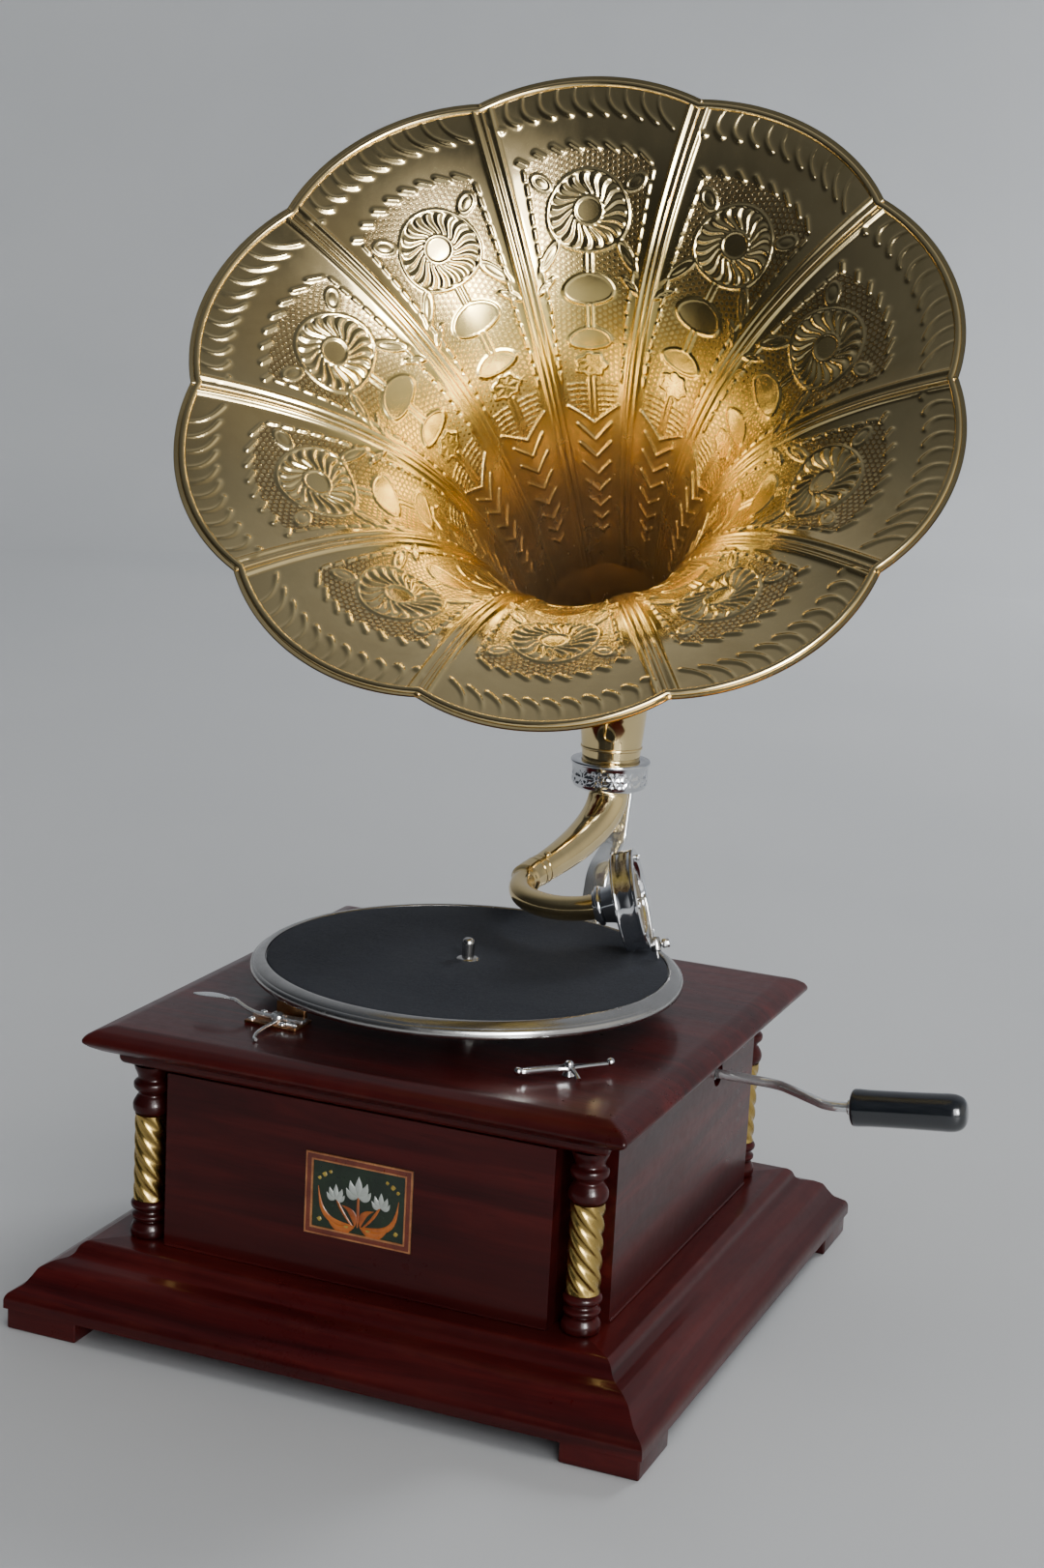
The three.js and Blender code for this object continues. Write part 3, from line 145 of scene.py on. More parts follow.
def tube_points(line, radii, sides, flat=1.0):
    _, u, v = transport(line)
    angle = np.linspace(0, 2 * np.pi, sides, endpoint=False)
    radii, flat = np.broadcast_to(radii, (len(line),)), np.broadcast_to(flat, (len(line),))
    ring = np.cos(angle)[None, :, None] * u[:, None] + (flat[:, None] * np.sin(angle))[..., None] * v[:, None]
    return np.asarray(line)[:, None] + ring * radii[:, None, None]


def capped(points):
    """Points and faces of a closed solid over rings of points, with a fan over each end."""
    rows, cols = points.shape[:2]
    flat = points.reshape(-1, 3)
    faces = grid_faces(rows, cols, close_cols=True)
    ends = np.vstack([points[0].mean(0), points[-1].mean(0)])
    a, b = len(flat), len(flat) + 1
    faces += [(a, (j + 1) % cols, j) for j in range(cols)]
    last = (rows - 1) * cols
    faces += [(b, last + j, last + (j + 1) % cols) for j in range(cols)]
    return np.vstack([flat, ends]), faces


def tube(line, radii, sides=24, flat=1.0):
    return capped(tube_points(line, radii, sides, flat))


def hollow(line, radii, wall, sides=40):
    outer = tube_points(line, radii, sides)
    inner = tube_points(line, np.asarray(radii) - wall, sides)[::-1]
    points = np.vstack([outer, inner])
    return points.reshape(-1, 3), grid_faces(len(points), sides, True, True)


def lathe(profile, sides=96, closed=False):
    """A round form about Z from [radius, height] points. An end on the axis closes it."""
    p = np.asarray(profile, float)
    angle = np.linspace(0, 2 * np.pi, sides, endpoint=False)
    points = np.stack([p[:, :1] * np.cos(angle), p[:, :1] * np.sin(angle),
                       np.repeat(p[:, 1:], sides, 1)], -1)
    return points.reshape(-1, 3), grid_faces(len(p), sides, closed, True)


def turned(points, origin, z_axis=(0, 0, 1), x_hint=(1, 0, 0)):
    """Moves local points to an origin, with local Z along z_axis."""
    z = np.asarray(z_axis, float)
    z = z / np.linalg.norm(z)
    x = np.asarray(x_hint, float)
    x = x - z * (x @ z)
    x /= np.linalg.norm(x)
    basis = np.stack([x, np.cross(z, x), z])
    return np.asarray(points) @ basis + np.asarray(origin, float)


def merged(*parts):
    points, faces, start = [], [], 0
    for p, f in parts:
        points.append(np.asarray(p).reshape(-1, 3))
        faces += [tuple(i + start for i in face) for face in f]
        start += len(points[-1])
    return np.vstack(points), faces


def soft_box(low, high, radius=1.0, steps=3):
    """A box with rounded edges."""
    low, high = np.asarray(low, float), np.asarray(high, float)
    half, middle = (high - low) / 2, (high + low) / 2
    radius = min(radius, 0.49 * half.min() * 2)
    count = 2 * steps + 2
    t = np.linspace(-1, 1, 2 * steps + 1)
    line = np.concatenate([t[:steps + 1] * 0 - 1, t[steps:] * 0 + 1])
    arc = np.concatenate([np.linspace(-np.pi / 4 * 1, 0, steps + 1), np.linspace(0, np.pi / 4, steps + 1)])
    points, faces = [], []
    for axis in range(3):
        for side in (-1, 1):
            start = len(points)
            for i in range(count):
                for j in range(count):
                    core = np.zeros(3)
                    bend = np.zeros(3)
                    u, v = (axis + 1) % 3, (axis + 2) % 3
                    core[axis], core[u], core[v] = side, line[i], line[j]
                    bend[axis], bend[u], bend[v] = side, math.tan(arc[i]), math.tan(arc[j])
                    bend[u] = bend[u]
                    bend /= np.linalg.norm(bend)
                    points.append(middle + core * (half - radius) + bend * radius)
            for i in range(count - 1):
                for j in range(count - 1):
                    a = start + i * count + j
                    face = (a, a + count, a + count + 1, a + 1)
                    faces.append(face if side > 0 else face[::-1])
    return np.array(points), faces


# Helpers that make materials

DOT_PITCH = 3.3
DOT_PACE = 2 * math.pi / (DOT_PITCH * math.sin(math.pi / 3))
DOT_WAVES = [(DOT_PACE * math.cos(turn), DOT_PACE * math.sin(turn))
             for turn in (0, math.pi / 3, 2 * math.pi / 3)]


class Finish:
    """A procedural material: its nodes are added one call at a time."""

    def __init__(self, name):
        self.material = bpy.data.materials.new(name)
        self.material.use_nodes = True
        self.tree = self.material.node_tree
        self.skin = self.tree.nodes["Principled BSDF"]

    def put(self, node, key, value):
        socket = node.inputs[key]
        if isinstance(value, bpy.types.NodeSocket):
            self.tree.links.new(value, socket)
        else:
            socket.default_value = value

    def add(self, kind, settings=None, **inputs):
        node = self.tree.nodes.new("ShaderNode" + kind)
        for key, value in (settings or {}).items():
            setattr(node, key, value)
        for key, value in inputs.items():
            self.put(node, int(key[1:]) if key[0] == "i" and key[1:].isdigit() else key.replace("_", " "),
                     value)
        return node

    def set(self, **inputs):
        for key, value in inputs.items():
            self.put(self.skin, key.replace("_", " "), value)
        return self

    def math(self, operation, a, b=0.5, c=0.5):
        return self.add("Math", {"operation": operation}, i0=a, i1=b, i2=c).outputs[0]

    def noise(self, vector, scale, detail=4, rough=0.55, distortion=0.0):
        return self.add("TexNoise", None, Vector=vector, Scale=scale, Detail=detail,
                        Roughness=rough, Distortion=distortion).outputs["Fac"]

    def ramp(self, value, *stops):
        node = self.add("ValToRGB", None, Fac=value)
        band = node.color_ramp
        while len(band.elements) < len(stops):
            band.elements.new(0.5)
        for element, (place, colour) in zip(band.elements, stops):
            element.position = place
            element.color = colour if len(colour) == 4 else (*colour, 1)
        return node.outputs["Color"]

    def span(self, value, low, high, to_low=0.0, to_high=1.0):
        return self.add("MapRange", None, Value=value, i1=low, i2=high, i3=to_low, i4=to_high).outputs[0]

    def mix(self, share, a, b, blend="MIX"):
        node = self.add("Mix", {"data_type": "RGBA", "blend_type": blend})
        self.put(node, 0, share)
        self.put(node, 6, a if isinstance(a, bpy.types.NodeSocket) else (*a, 1))
        self.put(node, 7, b if isinstance(b, bpy.types.NodeSocket) else (*b, 1))
        return node.outputs[2]

    def place(self, scale=(1, 1, 1), turn=(0, 0, 0), kind="Object"):
        coordinates = self.add("TexCoord").outputs[kind]
        return self.add("Mapping", None, Vector=coordinates, Scale=scale, Rotation=turn).outputs[0]

    def field(self, name):
        return self.add("Attribute", {"attribute_name": name}).outputs["Fac"]

    def staggered_dots(self):
        """Three crossed waves over the UV map, in centimetres: 3 on a dot's top and below 0 between dots."""
        uv = self.add("TexCoord").outputs["UV"]
        total = None
        for across, down in DOT_WAVES:
            wave_way = (10 * across, 10 * down, 0)
            dot = self.add("VectorMath", {"operation": "DOT_PRODUCT"}, i0=uv, i1=wave_way).outputs["Value"]
            wave = self.math("COSINE", dot)
            total = wave if total is None else self.math("ADD", total, wave)
        return total

    def bump(self, height, strength, distance, normal=None):
        node = self.add("Bump", None, Height=height, Strength=strength, Distance=distance)
        if normal is not None:
            self.put(node, "Normal", normal)
        return node.outputs[0]


def mahogany(name, along, edges=False):
    """Lacquered dark red wood with its grain along one axis."""
    m = Finish(name)
    stretch = {"x": (1.6, 22, 22), "y": (22, 1.6, 22), "z": (22, 22, 1.6)}[along]
    grain_at = m.place(stretch)
    broad_at = m.place(tuple(0.35 * s for s in stretch))
    grain = m.noise(grain_at, 3.2, 9, 0.62, 0.7)
    broad = m.noise(broad_at, 2.3, 4, 0.5, 1.2)
    pores = m.noise(m.place(tuple(4.5 * s for s in stretch)), 4.0, 3, 0.7, 0.2)
    blotch = m.noise(m.place(), 9.0, 3, 0.5)
    colour = m.ramp(grain, (0.28, (0.016, 0.0014, 0.0016)), (0.47, (0.050, 0.0036, 0.0040)),
                    (0.62, (0.088, 0.0070, 0.0064)), (0.82, (0.130, 0.0140, 0.0110)))
    colour = m.mix(m.span(broad, 0.35, 0.7, 0.0, 0.7), colour, (0.030, 0.0024, 0.0027))
    colour = m.mix(m.span(pores, 0.62, 0.75, 0.0, 0.6), colour, (0.006, 0.0012, 0.0012))
    colour = m.mix(m.span(blotch, 0.4, 0.75, 0.0, 0.25), colour, (0.075, 0.012, 0.008))
    if edges:
        worn = m.math("MULTIPLY", m.field("edge"), m.span(m.noise(m.place((1, 1, 1)), 60, 5), 0.42, 0.66))
        colour = m.mix(m.math("MULTIPLY", worn, 0.55), colour, (0.16, 0.032, 0.018))
    dust = m.noise(m.place(), 140, 4, 0.7)
    rough = m.span(m.math("ADD", m.math("MULTIPLY", dust, 0.5), m.math("MULTIPLY", blotch, 0.5)), 0.3, 0.75,
                   0.24, 0.42)
    peel = m.noise(m.place(), 260, 2, 0.5)
    height = m.math("ADD", m.math("MULTIPLY", pores, 0.5), m.math("MULTIPLY", grain, 0.35))
    skin = m.bump(height, 0.16, 0.0006)
    coat = m.bump(m.math("ADD", peel, m.math("MULTIPLY", grain, 0.8)), 0.05, 0.0006)
    m.set(Base_Color=colour, Roughness=rough, IOR=1.45, Specular_IOR_Level=0.14, Normal=skin,
          Coat_Weight=0.34,
          Coat_Roughness=0.13, Coat_IOR=1.45, Coat_Normal=coat)
    return m.material


def brass(name, tone=(0.82, 0.64, 0.32), dull=(0.46, 0.33, 0.14), rough=(0.09, 0.18), embossed=False):
    """Polished brass with faint tarnish, and on the horn a stippled ground between raised figures, with painted light:
    a highlight on the figures, a warm tint deeper in and shade in the throat.
    """
    m = Finish(name)
    cloud = m.noise(m.place(), 16, 6, 0.6, 0.4)
    fine = m.noise(m.place(), 420, 3, 0.6)
    smear = m.noise(m.place((1, 1, 0.3)), 90, 4, 0.6)
    colour = m.mix(m.span(cloud, 0.45, 0.8, 0.0, 0.55), tone, dull)
    tarnish = m.span(smear, 0.35, 0.8, rough[0], rough[1])
    normal = m.bump(m.math("ADD", fine, m.math("MULTIPLY", smear, 0.7)), 0.03, 0.0003)
    if embossed:
        ground = m.field("stipple")
        dots = m.staggered_dots()
        bead = m.math("MULTIPLY", m.math("SQRT", m.span(dots, 0.0, 2.7)), ground)
        normal = m.bump(bead, 1.0, 0.00018, normal)
        between = m.math("MULTIPLY", ground, m.span(dots, 0.9, -0.6))
        colour = m.mix(m.math("MULTIPLY", between, 0.75), colour, (0.20, 0.12, 0.045))
        depth = m.field("depth")
        # Painted reflection: deeper in the bell the brass is tinted yellower, standing for the warm glow of light
        # bouncing inside the horn.
        colour = m.mix(m.span(depth, 0.5, 1.3), colour, (1.0, 0.955, 0.60), "MULTIPLY")
        # Painted shade: deep in the throat the brass is mixed towards a dull dark brown, and Metallic is lowered there
        # too.
        colour = m.mix(m.span(depth, 1.5, 2.5, 0.0, 0.85), colour, (0.44, 0.33, 0.22))
        # Painted highlight: by their height, the raised figures are mixed towards a light gold.
        ridge = m.field("height")
        colour = m.mix(m.span(ridge, 0.2, 1.0, 0.0, 0.5), colour, (0.97, 0.76, 0.36))
        tarnish = m.math("ADD", tarnish, m.math("MULTIPLY", between, 0.16))
        tarnish = m.math("ADD", tarnish, m.span(depth, 0.7, 1.8, 0.0, 0.13))
        m.set(Metallic=m.span(depth, 1.7, 2.8, 1.0, 0.84))
    else:
        m.set(Metallic=1.0)
    m.set(Base_Color=colour, Roughness=tarnish, Normal=normal)
    return m.material


def plated(name, tone=(0.72, 0.73, 0.75), rough=(0.05, 0.16), spots=0.25, metal=1.0):
    """Chrome, nickel or zinc plating with a little haze and a few dark specks."""
    m = Finish(name)
    haze = m.noise(m.place(), 55, 5, 0.6, 0.3)
    specks = m.add("TexVoronoi", None, Vector=m.place(), Scale=240.0, Randomness=1.0).outputs["Distance"]
    speck = m.math("MULTIPLY", m.span(specks, 0.05, 0.12, 1.0, 0.0), m.span(haze, 0.5, 0.65))
    colour = m.mix(m.span(haze, 0.4, 0.8, 0.0, 0.5), tone, tuple(0.62 * c for c in tone))
    colour = m.mix(m.math("MULTIPLY", speck, spots), colour, (0.09, 0.07, 0.05))
    wave = m.noise(m.place(), 130, 2, 0.5)
    m.set(Base_Color=colour, Metallic=metal, Roughness=m.span(haze, 0.35, 0.8, rough[0], rough[1]),
          Normal=m.bump(wave, 0.05, 0.0005))
    return m.material


def machined(name, tone=(0.38, 0.385, 0.39)):
    """Turned or milled steel with fine tool lines."""
    m = Finish(name)
    lines = m.add("TexWave", {"bands_direction": "Z"}, Vector=m.place(), Scale=900.0, Distortion=1.5,
                  Detail=2.0).outputs["Fac"]
    cloud = m.noise(m.place(), 70, 5)
    colour = m.mix(m.span(cloud, 0.4, 0.8), tone, tuple(0.5 * c for c in tone))
    m.set(Base_Color=colour, Metallic=1.0, Roughness=m.span(cloud, 0.3, 0.8, 0.22, 0.45),
          Normal=m.bump(lines, 0.12, 0.0003))
    return m.material


def felt_cloth(name):
    """Dense dark felt: matted fibres, pilling and a soft sheen."""
    m = Finish(name)
    fibres = m.noise(m.place((1, 1, 1)), 900, 6, 0.75, 1.2)
    mat = m.noise(m.place(), 160, 5, 0.65, 0.8)
    wear = m.noise(m.place(), 18, 4, 0.5)
    colour = m.ramp(fibres, (0.25, (0.020, 0.022, 0.028)), (0.55, (0.042, 0.045, 0.054)),
                    (0.85, (0.082, 0.087, 0.100)))
    colour = m.mix(m.span(wear, 0.4, 0.75, 0.0, 0.4), colour, (0.060, 0.063, 0.073))
    height = m.math("ADD", fibres, m.math("MULTIPLY", mat, 1.4))
    m.set(Base_Color=colour, Roughness=0.97, Sheen_Weight=0.04, Sheen_Roughness=0.4,
          Sheen_Tint=(0.6, 0.64, 0.75, 1), Specular_IOR_Level=0.06, Normal=m.bump(height, 0.7, 0.0007))
    return m.material


def gloss_black(name):
    """Black lacquered wood with faint rubbing marks."""
    m = Finish(name)
    marks = m.noise(m.place((1, 8, 8)), 60, 5, 0.6)
    grain = m.noise(m.place((3, 40, 40)), 12, 4)
    colour = m.mix(m.span(marks, 0.45, 0.8, 0.0, 0.6), (0.009, 0.0115, 0.015), (0.024, 0.028, 0.033))
    m.set(Base_Color=colour, Roughness=m.span(marks, 0.3, 0.8, 0.12, 0.3), Coat_Weight=0.8,
          Coat_Roughness=0.06,
          Normal=m.bump(m.math("ADD", grain, marks), 0.06, 0.0005))
    return m.material


def mica_sheet(name):
    m = Finish(name)
    flakes = m.add("TexVoronoi", None, Vector=m.place(), Scale=90.0, Randomness=1.0).outputs["Color"]
    grey = m.add("RGBToBW", None, Color=flakes).outputs[0]
    veins = m.noise(m.place(), 120, 5, 0.6, 2.0)
    colour = m.mix(m.span(grey, 0.2, 0.8, 0.0, 0.5), (0.62, 0.58, 0.47), (0.74, 0.71, 0.62))
    colour = m.mix(m.span(veins, 0.55, 0.7, 0.0, 0.35), colour, (0.36, 0.27, 0.15))
    m.set(Base_Color=colour, Roughness=m.span(veins, 0.3, 0.7, 0.14, 0.3), Coat_Weight=0.5,
          Coat_Roughness=0.08, Normal=m.bump(grey, 0.06, 0.0004))
    return m.material


WOOD_X = mahogany("mahogany_x", "x")
WOOD_Y = mahogany("mahogany_y", "y")
WOOD_Z = mahogany("mahogany_z", "z")
RAIL_X = mahogany("mahogany_rail_x", "x", True)
RAIL_Y = mahogany("mahogany_rail_y", "y", True)
HORN = brass("horn_brass", embossed=True)
BRASS = brass("tube_brass")
SLEEVE = brass("sleeve_brass", (0.52, 0.36, 0.11), (0.16, 0.10, 0.035), (0.2, 0.36))
GEAR = brass("gear_brass", (0.6, 0.44, 0.17), (0.3, 0.2, 0.08), (0.25, 0.4))
CHROME = plated("chrome")
NICKEL = plated("nickel", (0.50, 0.49, 0.475), (0.16, 0.32), 0.4)
ZINC = plated("zinc", (0.82, 0.84, 0.85), (0.08, 0.22), 0.2, 0.75)
STEEL = machined("steel")
BRONZE = machined("bronze", (0.40, 0.20, 0.09))
FELT = felt_cloth("felt")
BLACK = gloss_black("black_gloss")
MICA = mica_sheet("mica")

by_slot = {"mahogany": WOOD_X, "sleeve_brass": SLEEVE, "horn_brass": BRASS, "gear_brass": GEAR,
           "chrome": CHROME,
           "nickel": NICKEL, "steel": STEEL, "felt": FELT, "black_gloss": BLACK, "mica": MICA}
slot_of = {row["node"]: row["material_slot"] for row in frame["record"]["subparts"]}
for node_name, node in frame["nodes"].items():
    node.data.materials.clear()
    node.data.materials.append(by_slot[slot_of[node_name]])
for side in ("left", "right"):
    frame["nodes"][f"{side}_panel"].data.materials[0] = WOOD_Y


# Cabinet: base, boards, lid, columns and the ornament on the front

BODY, BASE, BASE_INNER = 141.0, 189.0, 126.0
FOOT, BASE_TOP, BODY_TOP, LID_TOP, FELT_TOP = 12.0, 47.0, 148.0, 172.0, 197.0
FOOT_NEAR, FOOT_FAR, FOOT_HIGH = 143.5, 187.5, 12.6
LID_FLAT, SPINDLE_HOLE, HOLE_FLOOR = 128.0, 7.2, 149.0
COLUMN_AT = 131.0
CORNERS = {"front_right": (1, -1), "back_right": (1, 1), "back_left": (-1, 1), "front_left": (-1, -1)}


def profile_edges(profile):
    """How much each point of a moulding's profile stands out as a convex edge, 0 to 1."""
    p = np.asarray(profile, float)
    a, b = p - np.roll(p, 1, 0), np.roll(p, -1, 0) - p
    turn = np.arctan2(a[:, 0] * b[:, 1] - a[:, 1] * b[:, 0], (a * b).sum(1))
    turn[0] = turn[-1] = 0
    return np.clip(turn / 0.8, 0, 1)


def moulding_profile(points, radius):
    return rounded_line([np.append(q, 0) for q in points], radius, 4)[:, :2]


def build_base():
    outline = [(BASE, FOOT), (BASE, 17.6), (187.6, 20.6), (185.2, 22.1), (180.9, 24.9), (177.8, 29.5),
               (175.1, 34),
               (169.8, 36.9), (163.1, 38.4), (160.7, 40.4), (159, 44.5), (155.9, BASE_TOP),
               (BASE_INNER, BASE_TOP)]
    profile = moulding_profile(outline, 1.3)
    edges = profile_edges(profile)
    along = np.linspace(-1, 1, 9)
    for turn, side in enumerate(("front", "right", "back", "left")):
        c, s = round(math.cos(turn * math.pi / 2)), round(math.sin(turn * math.pi / 2))
        quarter = np.array([[c, s, 0], [-s, c, 0], [0, 0, 1.0]])
        points = np.array([[(t * half, -half, z) for half, z in profile] for t in along]) @ quarter
        under = np.array([[(t * half, -half, FOOT) for half in (BASE, BASE_INNER)] for t in along]) @ quarter
        p, f = merged((points, grid_faces(*points.shape[:2])), (under, grid_faces(*under.shape[:2])))
        worn = np.concatenate([np.tile(edges, len(along)), np.zeros(len(under) * 2)])
        make(f"moulding_{side}", p, f, RAIL_X if turn % 2 == 0 else RAIL_Y, "cabinet",
             [f"base_rail_{side}"], 30, fields={"edge": worn})
    for corner, (sx, sy) in CORNERS.items():
        x0, x1 = sorted((sx * FOOT_NEAR, sx * FOOT_FAR))
        y0, y1 = sorted((sy * FOOT_NEAR, sy * FOOT_FAR))
        p, f = soft_box((x0, y0, 0), (x1, y1, FOOT_HIGH), 1.2)
        make(f"block_foot_{corner}", p, f, WOOD_X, "cabinet", [f"foot_{corner}"], 60)


def build_lid():
    outline = [(120, BODY_TOP), (138.6, BODY_TOP), (141.2, 149.4), (143.9, 150.4), (145, 152.8), (145, 155.7),
               (151.9, 157.6),
               (157.4, 160.7), (160, 163.1), (160, 164.8), (158.5, 167.2), (154.4, 169.8), (148.4, 171.6),
               (146, LID_TOP), (LID_FLAT, LID_TOP)]
    profile = moulding_profile(outline, 1.2)
    edges = profile_edges(profile)
    rings, worn = [], []
    for (half, z), edge in zip(profile, edges):
        r = np.clip(half - 137, 0.6, 2.2)
        ring = []
        for sx, sy, start in ((1, -1, -90), (1, 1, 0), (-1, 1, 90), (-1, -1, 180)):
            for a in np.radians(start + np.linspace(0, 90, 5)):
                ring.append((sx * (half - r) + r * math.cos(a), sy * (half - r) + r * math.sin(a), z))
        rings.append(ring)
        worn += [edge] * 20
    points = np.array(rings)
    p, f = points.reshape(-1, 3), grid_faces(*points.shape[:2], close_cols=True)
    # The flat top around the spindle's hole, as rings from the hole out to the moulding's inner edge.
    angle = np.linspace(0, 2 * np.pi, 80, endpoint=False)
    square = LID_FLAT / np.maximum(np.abs(np.cos(angle)), np.abs(np.sin(angle)))
    top = []
    for share in (0, 0.25, 0.6, 1):
        radius = SPINDLE_HOLE * (1 - share) + square * share
        top.append(np.stack([radius * np.cos(angle), radius * np.sin(angle), np.full(80, LID_TOP)], -1))
    hole = np.array([np.stack([SPINDLE_HOLE * np.cos(angle), SPINDLE_HOLE * np.sin(angle), np.full(80, z)],
                              -1)
                     for z in (HOLE_FLOOR, LID_TOP)])
    p, f = merged((p, f), (np.array(top), [q[::-1] for q in grid_faces(4, 80, close_cols=True)]),
                  (hole, grid_faces(2, 80, close_cols=True)))
    worn = np.concatenate([worn, np.zeros(len(p) - len(worn))])
    make("lid_moulded", p, f, RAIL_X, "cabinet", ["lid"], 30, fields={"edge": worn})


COLUMN_FOOT = [(8.4, 0), (10.2, 1.1), (10.5, 4.9), (8.8, 8.4), (7.2, 9.5), (9.6, 11.0), (9.9, 13.0),
               (8.2, 14.6),
               (8.0, 16.0), (10.2, 17.6), (10.4, 20.0), (8.6, 22.1)]
COLUMN_HEAD = [(8.6, 72.7), (10.2, 74.7), (10.5, 78.4), (8.7, 82.1), (7.4, 84.1), (8.4, 85.8), (10.1, 87.8),
               (10.1, 90.7), (8.0, 93.0), (8.4, 95.5), (9.8, 98.8), (10.3, 101)]


def build_columns():
    core = [(7.1, 22.2), (7.1, 72.6)]
    profile = np.vstack([[(0.01, 0)], smooth_line(COLUMN_FOOT, 6), core, smooth_line(COLUMN_HEAD, 6),
                         [(0.01, 101)]])
    cp, cf = lathe(profile, 48)
    sides, rows, lobes = 96, 60, 6
    z = np.linspace(22.4, 72.4, rows)
    angle = np.linspace(0, 2 * np.pi, sides, endpoint=False)
    phase = lobes * (angle[None] + (z[:, None] - 22.4) / 9.5)
    radius = 8.75 + 0.55 * np.sign(np.cos(phase)) * np.abs(np.cos(phase)) ** 0.6
    fade = np.clip(np.minimum(z - 22.4, 72.4 - z) / 2.0, 0, 1)[:, None]
    radius = 9.2 * (1 - fade) + radius * fade
    outer = np.stack([radius * np.cos(angle), radius * np.sin(angle), np.repeat(z[:, None], sides, 1)], -1)
    inner = outer[[-1, 0]].copy()
    inner[..., :2] *= (7.4 / 9.2)
    points = np.vstack([outer, inner])
    sp, sf = points.reshape(-1, 3), grid_faces(rows + 2, sides, True, True)
    for corner, (sx, sy) in CORNERS.items():
        at = (sx * COLUMN_AT, sy * COLUMN_AT, BASE_TOP)
        make(f"turned_{corner}", cp + at, cf, WOOD_Z, "cabinet", [f"column_{corner}"], 50)
        make(f"spiral_{corner}", sp + at, sf, SLEEVE, "cabinet", [f"sleeve_{corner}"], 60)


def build_panels():
    """Small raised lip round the front, right and left boards, as the photo's light line shows."""
    for name, half, axis, sign in (("front", 115.5, 1, -1), ("right", 115.5, 0, 1), ("left", 115.5, 0, -1)):
        line = []
        for t in np.linspace(-half + 0.6, half - 0.6, 24):
            point = [t, t, BASE_TOP + 0.8]
            point[axis] = sign * BODY
            line.append(point)
        p, f = tube(np.array(line), 0.8, 10)
        make(f"foot_bead_{name}", p, f, WOOD_X if axis else WOOD_Y, "cabinet", angle=60)


def enamel(name, light, dark, metal=0.0):
    """Printed lacquer: one colour that is rubbed and clouded with a darker one."""
    m = Finish(name)
    cloud = m.noise(m.place(), 70, 4, 0.6)
    rub = m.noise(m.place(), 420, 5, 0.65)
    colour = m.mix(m.span(cloud, 0.35, 0.75), light, dark)
    colour = m.mix(m.span(rub, 0.52, 0.75, 0.0, 0.5), colour, dark)
    m.set(Base_Color=colour, Metallic=metal, Roughness=m.span(rub, 0.3, 0.8, 0.25, 0.42), Coat_Weight=0.3,
          Coat_Roughness=0.12, Normal=m.bump(rub, 0.08, 0.0003))
    return m.material


PLATE_AT = np.array([3.5, -BODY, 97.0])
PLATE_HALF = (32.0, 23.5)
PLATE_FACE = 0.3


def square_rings(profile):
    """A picture frame about the plate's middle from [inset, height] points."""
    rings = []
    for inset, height in profile:
        w, h = PLATE_HALF[0] - inset, PLATE_HALF[1] - inset
        rings.append([(sx * w, -height, sz * h) for sx, sz in ((-1, -1), (1, -1), (1, 1), (-1, 1))])
    return np.array(rings) + PLATE_AT, grid_faces(len(profile), 4, close_cols=True)


def pressed_leaf(line, widths, height):
    """A low rounded leaf on the plate along [across, up] points, given its half width at each."""
    line = np.asarray(line, float)
    tangent = np.gradient(line, axis=0)
    tangent /= np.linalg.norm(tangent, axis=1)[:, None]
    across = np.stack([-tangent[:, 1], tangent[:, 0]], -1)
    angle = np.linspace(0, 2 * np.pi, 12, endpoint=False)
    flat = line[:, None] + np.cos(angle)[None, :, None] * across[:, None] * np.asarray(widths)[:, None, None]
    out = -height * np.sin(angle)[None] * np.ones((len(line), 1)) - PLATE_FACE
    return capped(np.stack([flat[..., 0], out, flat[..., 1]], -1) + PLATE_AT)


def leaf_line(start, end, bow, steps=14):
    """A bowed line between two points of the plate, with a leaf's share of its width at each point."""
    start, end = np.asarray(start, float), np.asarray(end, float)
    t = np.linspace(0, 1, steps)
    side = np.array([-(end - start)[1], (end - start)[0]])
    line = start + t[:, None] * (end - start) + bow * np.sin(np.pi * t)[:, None] * side
    return line, np.clip(np.sin(np.pi * t ** 0.8), 0.04, 1)


